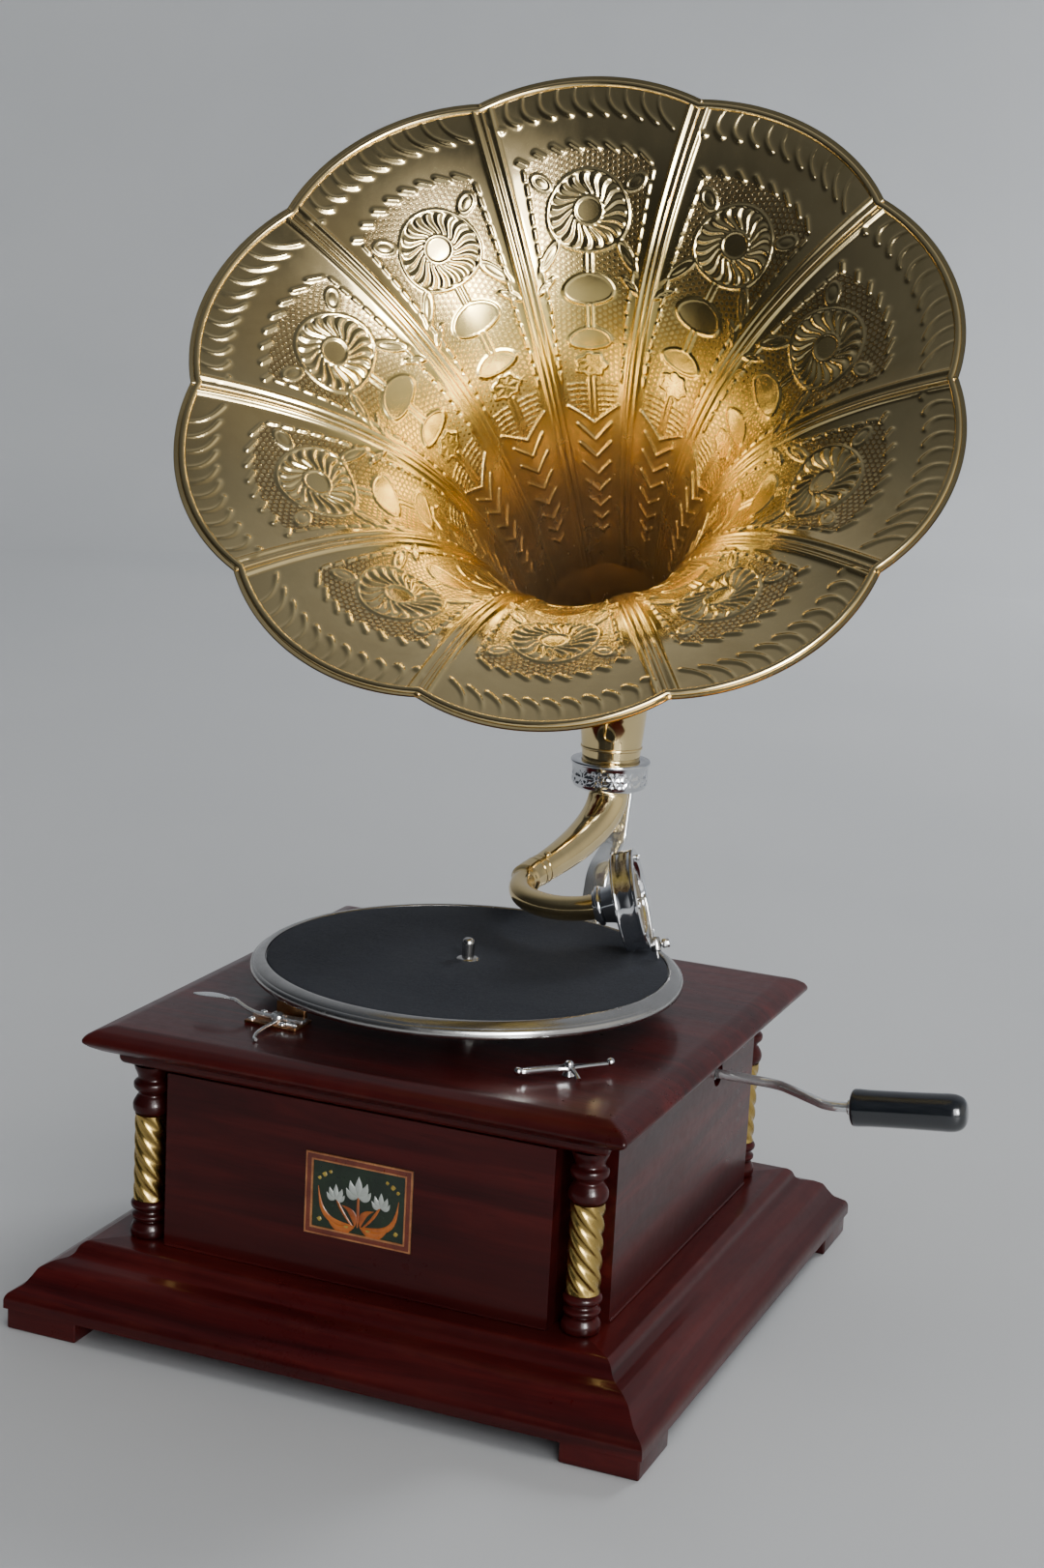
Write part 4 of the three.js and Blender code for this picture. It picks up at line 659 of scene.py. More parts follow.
def build_plate():
    """A small framed ornament on the front: a plain spray of flowers, with no picture or word from the photo."""
    green = enamel("ornament_green", (0.012, 0.030, 0.010), (0.004, 0.011, 0.005))
    red = enamel("ornament_red", (0.21, 0.036, 0.014), (0.10, 0.012, 0.006))
    gold = enamel("ornament_gold", (0.62, 0.27, 0.10), (0.26, 0.07, 0.025), 0.2)
    cream = enamel("ornament_cream", (0.62, 0.66, 0.62), (0.38, 0.42, 0.36))
    orange = enamel("ornament_orange", (0.62, 0.17, 0.022), (0.30, 0.06, 0.012))
    yellow = enamel("ornament_yellow", (0.55, 0.40, 0.06), (0.24, 0.13, 0.02))
    half = np.array([PLATE_HALF[0], PLATE_FACE, PLATE_HALF[1]])
    p, f = soft_box(PLATE_AT - half, PLATE_AT + half, 0.25, 2)
    make("ornament_ground", p, f, green, "cabinet", angle=60)
    p, f = square_rings([(0.2, 0.2), (0.4, 0.6), (0.9, 0.75), (3.6, 0.75), (4.1, 0.6), (4.3, 0.2)])
    make("ornament_band", p, f, red, "cabinet", angle=60)
    lines = [square_rings([(a, 0.3), (a + 0.15, 1.0), (a + 0.55, 1.1), (a + 0.95, 1.0), (a + 1.1, 0.3)])
             for a in (0.1, 3.5)]
    p, f = merged(*lines)
    make("ornament_lines", p, f, gold, "cabinet", angle=60)
    blooms, leaves, buds = [], [], []
    for x, lift, size in ((0, 2.5, 1.0), (-13.5, -1.0, 0.72), (13.5, -1.0, 0.72)):
        for k in range(5):
            way = math.radians(90 + 31 * (k - 2))
            reach = size * (11.5 - 1.6 * abs(k - 2))
            tip = (x + reach * math.cos(way), lift + reach * math.sin(way))
            line, share = leaf_line((x, lift), tip, 0.12 * (k - 2))
            blooms.append(pressed_leaf(line, 2.2 * size * share, 0.45))
        line, share = leaf_line((x, lift + 1), (0.2 * x, -15), 0.05 * (x > 0) - 0.05 * (x < 0))
        leaves.append(pressed_leaf(line, 0.35 + 0.5 * share, 0.35))
    for side in (-1, 1):
        for end, bow, width in (((18.5, -12.5), -0.25, 2.3), ((9.5, -4.0), 0.2, 1.9),
                                ((24.0, 4.5), -0.3, 1.6)):
            line, share = leaf_line((side * 1.5, -14.5), (side * end[0], end[1]), side * bow)
            leaves.append(pressed_leaf(line, width * share, 0.4))
        for x, z, size in ((20.5, 11.5, 1.5), (17.0, 13.5, 1.1), (23.5, 9.0, 1.1), (23.0, -14.5, 1.4),
                           (6.5, -16.0, 1.3)):
            line, share = leaf_line((side * (x - size), z), (side * (x + size), z + 0.4), 0)
            buds.append(pressed_leaf(line, size * share, 0.4))
    for name, parts, material in (("blooms", blooms, cream), ("leaves", leaves, orange),
                                  ("buds", buds, yellow)):
        p, f = merged(*parts)
        make(f"ornament_{name}", p, f, material, "cabinet", angle=60)


# Turntable: the pressed platter and its felt

def build_turntable():
    profile = [(3.9, 195.5), (20, 195.5), (60, 195.5), (116.3, 195.5), (116.5, 196.7), (117.0, 197.2),
               (117.9, 197.4),
               (119.2, 197.1), (121.3, 195.9), (123.0, 194.6), (123.4, 194.0), (124.1, 193.7), (124.8, 192.8),
               (125.2, 191.2), (125.1, 189.7), (124.7, 188.8), (124.1, 188.4), (123.4, 188.7), (122.6, 190.4),
               (120.8, 192.5), (117.5, 193.3), (60, 193.5), (16, 193.5),
               (15, 190), (7.4, 186), (7.2, 178.6), (3.9, 178.6)]
    p, f = lathe(profile, 192, True)
    make("platter_rim", p, f, NICKEL, "turntable", ["platter"], 30)
    rings = [(3.9, 196.0), (4.4, 196.9), (5.4, FELT_TOP)] + [(r, FELT_TOP) for r in np.linspace(9, 112.5, 24)]
    rings += [(114.6, 196.98), (115.7, 196.7), (116, 196.0), (115.9, 195.6)]
    p, f = lathe(rings, 192)
    wave = np.hypot(p[:, 0], p[:, 1])
    lift = 0.12 * np.sin(p[:, 0] * 0.09 + 1.3) * np.cos(p[:, 1] * 0.07) * np.clip((110 - wave) / 20, 0, 1)
    p[:, 2] += np.minimum(lift, 0.0)
    make("felt_mat", p, f, FELT, "turntable", ["felt"], 40)
    tip = [(0.01, 209.5), (1.2, 209.45), (2.2, 209.1), (3.0, 208.4), (3.5, 207.2), (3.6, 205.9), (3.6, 198.2),
           (5.2, 197.9), (6.3, 197.5), (6.6, 196.9), (3.6, 196.7)]
    p, f = lathe(tip, 40)
    make("spindle_tip", p, f, NICKEL, "turntable", angle=50)


# Horn: embossed petals, rim wire, elbow and its rings

PIVOT = np.array([7.0, 200.0, 261.5])
AZIMUTH, TILT, PHASE = math.radians(12.2), math.radians(40.1), math.radians(112.9)
AHEAD = np.array([math.sin(AZIMUTH), -math.cos(AZIMUTH), 0.0])
MOUTH = AHEAD * math.cos(TILT) + np.array([0, 0, math.sin(TILT)])
NECK_TOP = PIVOT + (0, 0, 34.5)
BEND, BEND_RADIUS = math.pi / 2 - TILT, 60.0
ELBOW_END = NECK_TOP + AHEAD * BEND_RADIUS * (1 - math.cos(BEND)) + np.array([0, 0, BEND_RADIUS
                                                                              * math.sin(BEND)])
CENTRE = ELBOW_END + MOUTH * 300
SIDE = np.cross([0, 0, 1.0], MOUTH)
SIDE /= np.linalg.norm(SIDE)
TOP = np.cross(MOUTH, SIDE)
STEP = math.pi / 5
PETALS = 10
BELL, RIM, BULGE = 236.0, 203.0, 9.0
NECK_RADIUS = 18.4


def bell_radius(depth):
    return RIM / (1 + depth / 86) ** 1.287


DEPTHS = np.linspace(0, BELL, 1200)
ARCS = np.concatenate([[0], np.cumsum(np.hypot(np.diff(DEPTHS), np.diff(bell_radius(DEPTHS))))])


def bell_point(depth, angle_share, petal):
    """A point of the bell: how deep behind the mouth, and where across a petal, from -1 to 1."""
    radius = bell_radius(depth) * (1 + (BULGE / RIM) * (1 - angle_share ** 2))
    angle = PHASE + (petal + 0.5 + 0.5 * angle_share) * STEP
    return (CENTRE - MOUTH * np.asarray(depth)[..., None] + SIDE * (radius * np.cos(angle))[..., None]
            + TOP * (radius * np.sin(angle))[..., None])


def ridge(distance, width):
    return np.exp(-(distance / width) ** 2)


def to_segment(w, s, a, b):
    """Distance from points to a segment, in the petal's flat frame."""
    ax, ay, bx, by = *a, *b
    dx, dy = bx - ax, by - ay
    t = np.clip(((w - ax) * dx + (s - ay) * dy) / (dx * dx + dy * dy), 0, 1)
    return np.hypot(w - ax - t * dx, s - ay - t * dy), t


def inside(value, softness):
    return np.clip(0.5 + value / softness, 0, 1)


BEAD = 0.6
FIELD_S = [36, 55, 90, 110, 125, 153, 170, 183, 197.5]
FIELD_W = [39.5, 34.2, 28.0, 24.0, 21.4, 18.4, 16.4, 14.4, 0.0]


def ornament(w, s, half):
    """Height in mm of the pressed figures at w across and s down from the rim, and the stippled ground."""
    h = np.zeros_like(w)
    limit = np.interp(s, FIELD_S, FIELD_W)
    top_edge = 39.8 + 4.5 * (w / 38) ** 2
    field = inside(limit - np.abs(w) - 0.6, 1.2) * inside(s - top_edge - 0.6, 1.2) * (s < 197)
    solid = np.zeros_like(w)
    # crescents along the rim
    for k in range(11):
        foot, head = 46.5 - 9.55 * k, 38.6 - 9.55 * k
        line = bezier((head, 4.6, 0), (head - 1.6, 11, 0), (head - 0.5, 17.5, 0), (foot, 21.6, 0), 12)
        for i in range(11):
            d, _ = to_segment(w, s, line[i][:2], line[i + 1][:2])
            h = np.maximum(h, (0.5 + 0.06 * i) * ridge(d, 0.6 + 0.07 * i))
    # slanted dashes round the ground
    for x in np.arange(-37, 38, 9.8):
        y = 38.6 + 4.5 * (x / 38) ** 2
        d, _ = to_segment(w, s, (x + 2.7, y + 2.2), (x - 2.7, y - 1.8))
        h = np.maximum(h, 1.3 * ridge(d, 1.25))
    for y in np.arange(50, 172, 8.2):
        x = float(np.interp(y, FIELD_S, FIELD_W))
        for side in (-1, 1):
            d, _ = to_segment(w, s, (side * (x + 0.5), y - 2.6), (side * (x - 0.4), y + 2.2))
            h = np.maximum(h, 1.0 * ridge(d, 1.0))
    # rosette
    x, y = w, s - 74.5
    r, a = np.hypot(x, y * 1.02), np.arctan2(y, x)
    t = np.clip((r - 8.2) / 13.3, 0, 1)
    swirl = 0.5 + 0.5 * np.cos(19 * (a + 0.20 * np.sin(np.pi * t) + 0.34 * t))
    band = inside(r - 8.6, 1.0) * inside(21.2 - r, 1.0)
    h = np.where(r < 24, 0, h)
    h = np.maximum(h, band * (1.25 * swirl - 0.1))
    h = np.maximum(h, 1.0 * ridge(r - 22.4, 0.75))
    h = np.maximum(h, 1.2 * ridge(r - 7.6, 1.0))
    h = np.maximum(h, 0.35 * inside(6.4 - r, 0.8))
    solid = np.maximum(solid, inside(24.0 - r, 0.8))
    # leaves beside and below the rosette
    for side in (-1, 1):
        for x0, y0, long, wide, turn in ((26.2, 56.5, 6.6, 3.1, 0.75), (21.5, 96.5, 8.2, 3.0, -0.95),
                                         (23.4, 111.5, 4.6, 1.7, -0.6)):
            c, q = math.cos(turn), math.sin(turn)
            u = side * (w - side * x0)
            v = s - y0
            e = np.hypot((u * c - v * q) / long, (u * q + v * c) / wide)
            h = np.where(e < 1.15, 0, h)
            h = np.maximum(h, 0.9 * ridge((e - 1.0) * wide, 0.75))
            h = np.maximum(h, 0.8 * np.clip(1 - e ** 2, 0, 1))
            solid = np.maximum(solid, inside(1.25 - e, 0.3))
    # smooth ovals on stems
    for y0, wide, tall, lobes in ((116.8, 14.6, 8.2, 0), (144.6, 12.4, 5.9, 0), (160.0, 8.2, 6.6, 7)):
        a = np.arctan2(s - y0, w)
        edge = 1 + (0.1 * np.cos(lobes * a) if lobes else 0.05 * np.cos(2 * a + math.pi))
        e = np.hypot(w / wide, (s - y0) / tall) / edge
        h = np.where(e < 1.12, 0, h)
        flat_top = np.clip((1.06 - e) / 0.16, 0, 1)
        h = np.maximum(h, 0.5 * flat_top * (1.0 if not lobes else 0.8 + 0.2 * np.cos(lobes * a)))
        h = np.maximum(h, 0.8 * ridge((e - 0.97) * tall, 0.7))
        solid = np.maximum(solid, inside(1.2 - e, 0.25))
    for low, high in ((97.5, 107), (125.5, 138), (168, 193)):
        for x0 in (-1.5, 1.5):
            d, _ = to_segment(w, s, (x0, low), (x0, high))
            h = np.maximum(h, 0.95 * ridge(d, 0.75))
        solid = np.maximum(solid, inside(3.0 - np.abs(w), 0.8) * (s > low) * (s < high))
    for y in np.arange(172, 192, 3.5):
        reach = max(0.0, float(np.interp(y, FIELD_S, FIELD_W)) - 2.5)
        for side in (-1, 1):
            d, _ = to_segment(w, s, (side * 3.4, y), (side * (3.5 + 0.75 * reach), y - 1.2))
            h = np.maximum(h, 0.7 * ridge(d, 0.7))
    # chevrons that point into the throat
    chevrons = np.zeros_like(w)
    for tip, reach in ((197.5, 14.4), (209.3, 9.6), (221.4, 8.8), (234.2, 7.7), (246.7, 6.6), (259.0, 5.6),
                       (269.5, 4.2), (279, 3.2)):
        for side in (-1, 1):
            d, _ = to_segment(w, s, (0, tip), (side * reach, tip - 1.32 * reach * (0.73 if tip < 198 else 1)))
            chevrons = np.maximum(chevrons, 0.85 * ridge(d, 0.85))
    # double ridge at each seam
    scale = 0.42 + 0.58 * half / 64
    edge = half - np.abs(w)
    h = np.maximum(h, 1.7 * scale * ridge(edge - 4.7 * scale, 1.5 * scale))
    h = np.where(edge < 3.2 * scale, np.maximum(h * 0.9, 0.5 * ridge(edge, 0.9 * scale)), h)
    calm = 1 - 0.55 * np.clip((s - 105) / 90, 0, 1)
    stipple = field * (1 - solid) * (1 - np.clip(h * 1.4, 0, 1)) * calm
    dots = sum(np.cos(across * w + down * s) for across, down in DOT_WAVES)
    h = h + (BEAD * np.sqrt(np.clip(dots / 2.7, 0, 1)) - 0.25) * field * (1 - solid) * np.clip(1 - h, 0, 1)
    return np.maximum(h * calm, chevrons) * inside(s - 3.5, 2.5), stipple


def petal_grid(petal, rows, cols, sign, lift):
    arc = np.linspace(0, ARCS[-1], rows)
    depth = np.interp(arc, ARCS, DEPTHS)
    share = np.linspace(-1, 1, cols)
    share = np.sign(share) * np.abs(share) ** 0.9
    d, v = np.meshgrid(depth, share, indexing="ij")
    s = np.repeat(arc[:, None], cols, 1)
    half = bell_radius(d) * STEP / 2
    base = bell_point(d, v, petal)
    du = np.gradient(base, axis=0)
    dv = np.gradient(base, axis=1)
    normal = np.cross(dv, du)
    normal /= np.linalg.norm(normal, axis=-1)[..., None]
    inward = np.sign((normal * (CENTRE + MOUTH * 20 - base)).sum(-1))[..., None]
    normal = normal * inward
    height, stipple = ornament(-v * half, s, half)
    points = base + normal * (height + lift)[..., None]
    fields = {"stipple": stipple * (1 if sign > 0 else 0.4), "height": height * sign,
              "depth": s / 100}
    uv = np.stack([v * half / 10, s / 10], -1).reshape(-1, 2)
    return points, fields, uv


def build_petals():
    rows, cols = ((440, 140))
    for k in range(PETALS):
        front, fields, uv = petal_grid(k, rows, cols, 1, 0.0)
        back, back_fields, back_uv = petal_grid(k, rows // 2, cols // 2, -1, -1.0)
        p, f = merged((front, [q[::-1] for q in grid_faces(rows, cols)]),
                      (back, grid_faces(rows // 2, cols // 2)))
        joined = {key: np.concatenate([fields[key].ravel(), back_fields[key].ravel()]) for key in fields}
        make(f"petal_{k + 1}", p, f, HORN, "horn", [f"horn_petal_{k + 1}"], 180,
             uv=np.vstack([uv, back_uv]), fields=joined)


def build_rim():
    """The rolled wire edge, and the standing seams on the horn's back."""
    share = np.linspace(-1, 1, 41)[:-1]
    line = np.vstack([bell_point(np.full(40, 1.6), share, k) for k in range(PETALS)])
    out = line - (CENTRE - MOUTH * 1.6)
    line = line + out / np.linalg.norm(out, axis=1)[:, None] * 0.9
    ring = []
    for point, radial in zip(line, out / np.linalg.norm(out, axis=1)[:, None]):
        a = np.linspace(0, 2 * np.pi, 12, endpoint=False)
        ring.append(point + 2.1 * (np.cos(a)[:, None] * radial + np.sin(a)[:, None] * MOUTH))
    ring = np.array(ring)
    make("rim_wire", ring.reshape(-1, 3), grid_faces(400, 12, True, True), BRASS, "horn",
         angle=60)
    seams = []
    for k in range(PETALS):
        depth = np.interp(np.linspace(2, ARCS[-1] - 6, 60), ARCS, DEPTHS)
        line = bell_point(depth, np.full(60, -1.0), k)
        out = line - (CENTRE - MOUTH * depth[:, None])
        out /= np.linalg.norm(out, axis=1)[:, None]
        width = 0.9 + 0.7 * bell_radius(depth) / RIM
        seams.append(tube(line + out * 1.2, width, 8, 0.8))
    p, f = merged(*seams)
    make("standing_seams", p, f, BRASS, "horn", angle=60)


def build_elbow():
    """The elbow and its two raised rings."""
    corner = NECK_TOP + np.array([0, 0, BEND_RADIUS * math.tan(BEND / 2)])
    low = PIVOT + (0, 0, 6.5)
    line = np.vstack([np.linspace(low, NECK_TOP, 14)[:-1],
                      bezier(NECK_TOP, NECK_TOP * 0.4 + corner * 0.6, ELBOW_END * 0.4 + corner * 0.6,
                             ELBOW_END, 40)[:-1],
                      np.linspace(ELBOW_END, ELBOW_END + MOUTH * 64.5, 26)])
    length = np.concatenate([[0], np.cumsum(np.linalg.norm(np.diff(line, axis=0), axis=1))])
    beyond = np.clip((length - 13) / (length[-1] - 13), 0, 1)
    end_radius = bell_radius(BELL) * (1 + BULGE / RIM) + 1.3
    radii = NECK_RADIUS + (end_radius - NECK_RADIUS) * (0.62 * beyond + 0.38 * beyond ** 3)
    p, f = hollow(line, radii, 1.0, 64)
    inner = np.repeat([0.0, 3.0], len(p) // 2)
    # The inner wall gets depth 3.0, so the horn material paints it with the throat's painted shade.
    make("elbow_tube", p, f, HORN, "horn", ["horn_elbow"], 60,
         fields={"stipple": 0 * inner, "height": 0 * inner, "depth": inner})
    beads = []
    for place, size in ((length[-1] - 9, 1.0), (22.0, 0.9)):
        i = int(np.argmin(np.abs(length - place)))
        tangent = line[min(i + 1, len(line) - 1)] - line[i - 1]
        a = np.linspace(0, 2 * np.pi, 10, endpoint=False)
        profile = np.stack([radii[i] + size * np.cos(a) * 0.8, size * 1.2 * np.sin(a)], -1)
        bp, bf = lathe(profile, 64, True)
        beads.append((turned(bp, line[i], tangent), bf))
    p, f = merged(*beads)
    make("elbow_beads", p, f, BRASS, "horn", angle=60)


# Socket ring and bracket behind the cabinet

def build_socket():
    profile = smooth_line([(18.2, 0.2), (22.8, 2.2), (23.8, 3.9)], 4)
    profile = np.vstack([[(13.1, 0), (17.6, 0)], profile, [(24, 4.6)],
                         [(24, z) for z in np.linspace(5, 14.8, 14)],
                         [(24.3, 15.6), (25.2, 16.7), (25.6, 17.6), (25.6, 18.9), (25.2, 19.5), (19.0, 19.5),
                          (18.7, 19.1),
                          (18.7, 6.2), (13.1, 6.2), (13.1, 0)]])
    sides = 288
    p, f = lathe(profile, sides)
    p = p.reshape(len(profile), sides, 3)
    z, angle = p[..., 2], np.arctan2(p[..., 1], p[..., 0])
    outside = (np.hypot(p[..., 0], p[..., 1]) > 23.7) & (z > 4.4) & (z < 15.3)
    flowers = 14
    local = ((angle / (2 * np.pi) * flowers) % 1 - 0.5) * 24 * 2 * np.pi / flowers
    r, a = np.hypot(local, z - 9.8), np.arctan2(z - 9.8, local)
    lift = np.where(r < 4.6 + 0.7 * np.cos(6 * a), 0.35 + 0.35 * np.cos(6 * a) * np.clip(r / 3, 0, 1), 0)
    lift = np.maximum(lift, 0.8 * ridge(r, 1.1))
    lift = np.maximum(lift, 0.6 * ridge(z - 5.2, 0.5))
    lift = np.maximum(lift, 0.6 * ridge(z - 14.5, 0.5))
    vine = 2.6 * np.sin(angle * flowers)
    lift = np.maximum(lift, 0.4 * ridge(z - 9.8 - vine, 0.6))
    scale = 1 + np.where(outside, lift - 0.25, 0) / 24
    p[..., 0] *= scale
    p[..., 1] *= scale
    make("socket_ring", p.reshape(-1, 3) + PIVOT, f, CHROME, "cabinet", ["horn_socket"], 60)


def build_bracket():
    ring_y = 200 + 24 + 2.5 + 0.3
    rise = 261.5 - 172
    route = [(143.5, 62), (143.5, 137.2), (167.5, 160), (167.5 + 0.18 * rise, 172 + 0.2 * rise),
             (200 - 0.12 * rise, 172 + 0.42 * rise), (200 + 0.2 * rise, 172 + 0.56 * rise),
             (ring_y - 0.06 * rise, 172 + 0.74 * rise), (ring_y, 261.5), (ring_y, 277.1)]
    line = rounded_line([(7, y, z) for y, z in route], 9, 8)
    tangent = np.gradient(line, axis=0)
    tangent /= np.linalg.norm(tangent, axis=1)[:, None]
    across = np.array([1.0, 0, 0])
    out = np.cross(across, tangent)
    section = []
    for a in np.linspace(0, 2 * np.pi, 28, endpoint=False):
        c, s = math.cos(a), math.sin(a)
        section.append((7.5 * math.copysign(abs(c) ** 0.28, c), 2.5 * math.copysign(abs(s) ** 0.45, s)))
    rings = np.array([[point + x * across + y * o for x, y in section] for point, o in zip(line, out)])
    p, f = capped(rings)
    make("bracket_bar", p, f, ZINC, "cabinet", ["bracket_arm"], 40)
    knob = [(0.01, 9.5), (1.6, 9.3), (2.9, 8.5), (3.6, 7.2), (3.6, 5.8), (3.0, 4.6), (2.1, 3.9), (1.7, 3.2),
            (1.7, 0.2), (3.4, 0), (3.4, -1.5), (0.01, -1.5)]
    p, f = lathe(knob, 32)
    make("bracket_knob", turned(p, (7, 219.5, 232), (0, -1, 0.25)), f, BRASS, "cabinet",
         angle=50)


def slotted_head(radius, height):
    """A domed screw head with a slot, about local Z."""
    rows = [(radius, 0), (radius, height * 0.45), (radius * 0.86, height * 0.78),
            (radius * 0.6, height * 0.94), (radius * 0.3, height), (0.02, height)]
    p, f = lathe(smooth_line(rows, 4), 40)
    slot = (np.abs(p[:, 1]) < radius * 0.16) & (p[:, 2] > height * 0.3)
    p[slot, 2] -= height * 0.4
    return p, f


def build_screws():
    for k, z in enumerate((69.5, 124.0)):
        p, f = slotted_head(4.2, 2.6)
        shank, shank_f = lathe([(2.1, -5), (2.1, 0.3), (4.2, 0.0)], 24)
        p, f = merged((p, f), (shank, shank_f))
        make(f"bracket_screw_{k + 1}", turned(p, (7, 146.3, z), (0, 1, 0), (1, 0, 0.4)), f, CHROME, "cabinet",
             [f"bracket_bolt_{k + 1}"], 40)


# Tone arm, gooseneck and sound box

TURN, DIP = math.radians(14.1), math.radians(9.8)
WAY = np.array([-math.sin(TURN) * math.cos(DIP), -math.cos(TURN) * math.cos(DIP), -math.sin(DIP)])
ARM_END = np.array([-6.2, 113.0, 222.8])
BOX_TURN, BOX_LEAN = math.radians(16), math.radians(15)
OUT = np.array([math.cos(BOX_TURN) * math.cos(BOX_LEAN), math.sin(BOX_TURN) * math.cos(BOX_LEAN),
                math.sin(BOX_LEAN)])
BACK = np.array([-math.sin(BOX_TURN), math.cos(BOX_TURN), 0.0])
RISE = np.cross(OUT, BACK)
BOX = np.array([96.6, 57.3, 197.3]) - OUT * 10.3 + RISE * 34.7 + BACK * 14


def build_tone_arm():
    line = np.vstack([np.linspace(PIVOT + (0, 0, 5.9), PIVOT + (0, 0, -1.5), 8)[:-1],
                      bezier(PIVOT + (0, 0, -1.5), PIVOT + (0, 0, -22.5), ARM_END - WAY * 36, ARM_END, 64)])
    length = np.concatenate([[0], np.cumsum(np.linalg.norm(np.diff(line, axis=0), axis=1))])
    share = length / length[-1]
    radii = 12.8 + (8.8 - 12.8) * np.clip((share - 0.15) / 0.85, 0, 1)
    p, f = hollow(line, radii, 1.2, 56)
    make("arm_tube", p, f, BRASS, "tone_arm", ["tone_arm"], 60)
    parts = []
    for back, size in ((1.4, 1.0), (6.5, 0.7)):
        a = np.linspace(0, 2 * np.pi, 10, endpoint=False)
        bp, bf = lathe(np.stack([8.9 + size * 0.7 * np.cos(a), size * 1.3 * np.sin(a)], -1), 56, True)
        parts.append((turned(bp, ARM_END - WAY * back, WAY), bf))
    sp, sf = slotted_head(2.3, 1.6)
    up = np.array([0.25, 0.1, 1.0])
    up = up - WAY * (up @ WAY)
    up /= np.linalg.norm(up)
    parts.append((turned(sp, ARM_END - WAY * 11 + up * 8.7, up), sf))
    p, f = merged(*parts)
    make("arm_beads", p, f, BRASS, "tone_arm", angle=50)


def build_gooseneck():
    start = ARM_END + WAY * 0.3
    mouth = BOX - OUT * 22.3
    line = np.vstack([bezier(start, start + WAY * 40, mouth - OUT * 28, mouth, 70)[:-1],
                      np.linspace(mouth, mouth + OUT * 9, 8)])
    length = np.concatenate([[0], np.cumsum(np.linalg.norm(np.diff(line, axis=0), axis=1))])
    step = np.clip((length - 11.5) / 2.2, 0, 1)
    radii = 9.5 - 2.1 * step * step * (3 - 2 * step)
    p, f = hollow(line, radii, 1.2, 56)
    make("neck_tube", p, f, BRASS, "sound_box", ["gooseneck"], 60)


def build_sound_box():
    drum = [(7.7, -22), (9.1, -22), (9.6, -21.3), (10.3, -17), (11.4, -11.5), (13.2, -7.6), (14.2, -7.0),
            (29.2, -7.0), (30, -6.6),
            (30, -5.9), (29.5, -5.6), (29.3, -5.0), (29.45, -2.5), (29.5, 0.0), (29.45, 2.4), (29.3,
                                                                                               4.3), (29.5,
                                                                                                      4.8),
            (30, 5.1), (30, 6.4), (29.5, 7.0), (26.5, 7.0), (25.4, 6.6), (24.4, 6.6), (23.6, 6.2), (23, 5.2), (23, 1.0),
            (7.7, 1.0), (7.7, -22)]
    p, f = lathe(drum, 128)
    make("box_drum", turned(p, BOX, OUT, RISE), f, CHROME, "sound_box", ["soundbox_body"], 32)
    rows = [(22.7, 1.4)] + [(r, 1.4 + 0.35 * math.cos(r * 0.9) * (4 < r < 21))
                            for r in np.linspace(22, 0.02, 40)]
    p, f = lathe(rows, 96)
    make("mica_disc", turned(p, BOX, OUT, RISE), f, MICA, "sound_box", ["diaphragm"], 60)
    gasket = Finish("gasket_rubber")
    grit = gasket.noise(gasket.place(), 380, 4)
    gasket.set(Base_Color=gasket.mix(grit, (0.30, 0.27, 0.20), (0.16, 0.12, 0.08)), Roughness=0.75,
               Normal=gasket.bump(grit, 0.2, 0.0004))
    a = np.linspace(0, 2 * np.pi, 10, endpoint=False)
    p, f = lathe(np.stack([21.7 + 1.1 * np.cos(a), 2.4 + 1.1 * np.sin(a)], -1), 96, True)
    make("box_gasket", turned(p, BOX, OUT, RISE), f, gasket.material, "sound_box", angle=60)
    heads = []
    for k in range(3):
        a = math.radians(35 + 120 * k)
        p, f = slotted_head(1.9, 1.2)
        heads.append((turned(p, BOX + OUT * 6.9 + RISE * 26.2 * math.cos(a) + BACK * 26.2 * math.sin(a), OUT,
                             RISE), f))
    for k in range(3):
        a = math.radians(75 + 120 * k)
        p, f = slotted_head(1.9, 1.2)
        heads.append((turned(p, BOX - OUT * 6.9 + RISE * 23 * math.cos(a) + BACK * 23 * math.sin(a), -OUT,
                             RISE), f))
    collar, collar_f = lathe(smooth_line([(9.7, -20.5), (11.4, -20), (11.9, -18.5), (11.4, -17),
                                          (10.6, -16.4)], 4), 64)
    heads.append((turned(collar, BOX, OUT, RISE), collar_f))
    p, f = merged(*heads)
    make("box_screws", p, f, CHROME, "sound_box", angle=40)


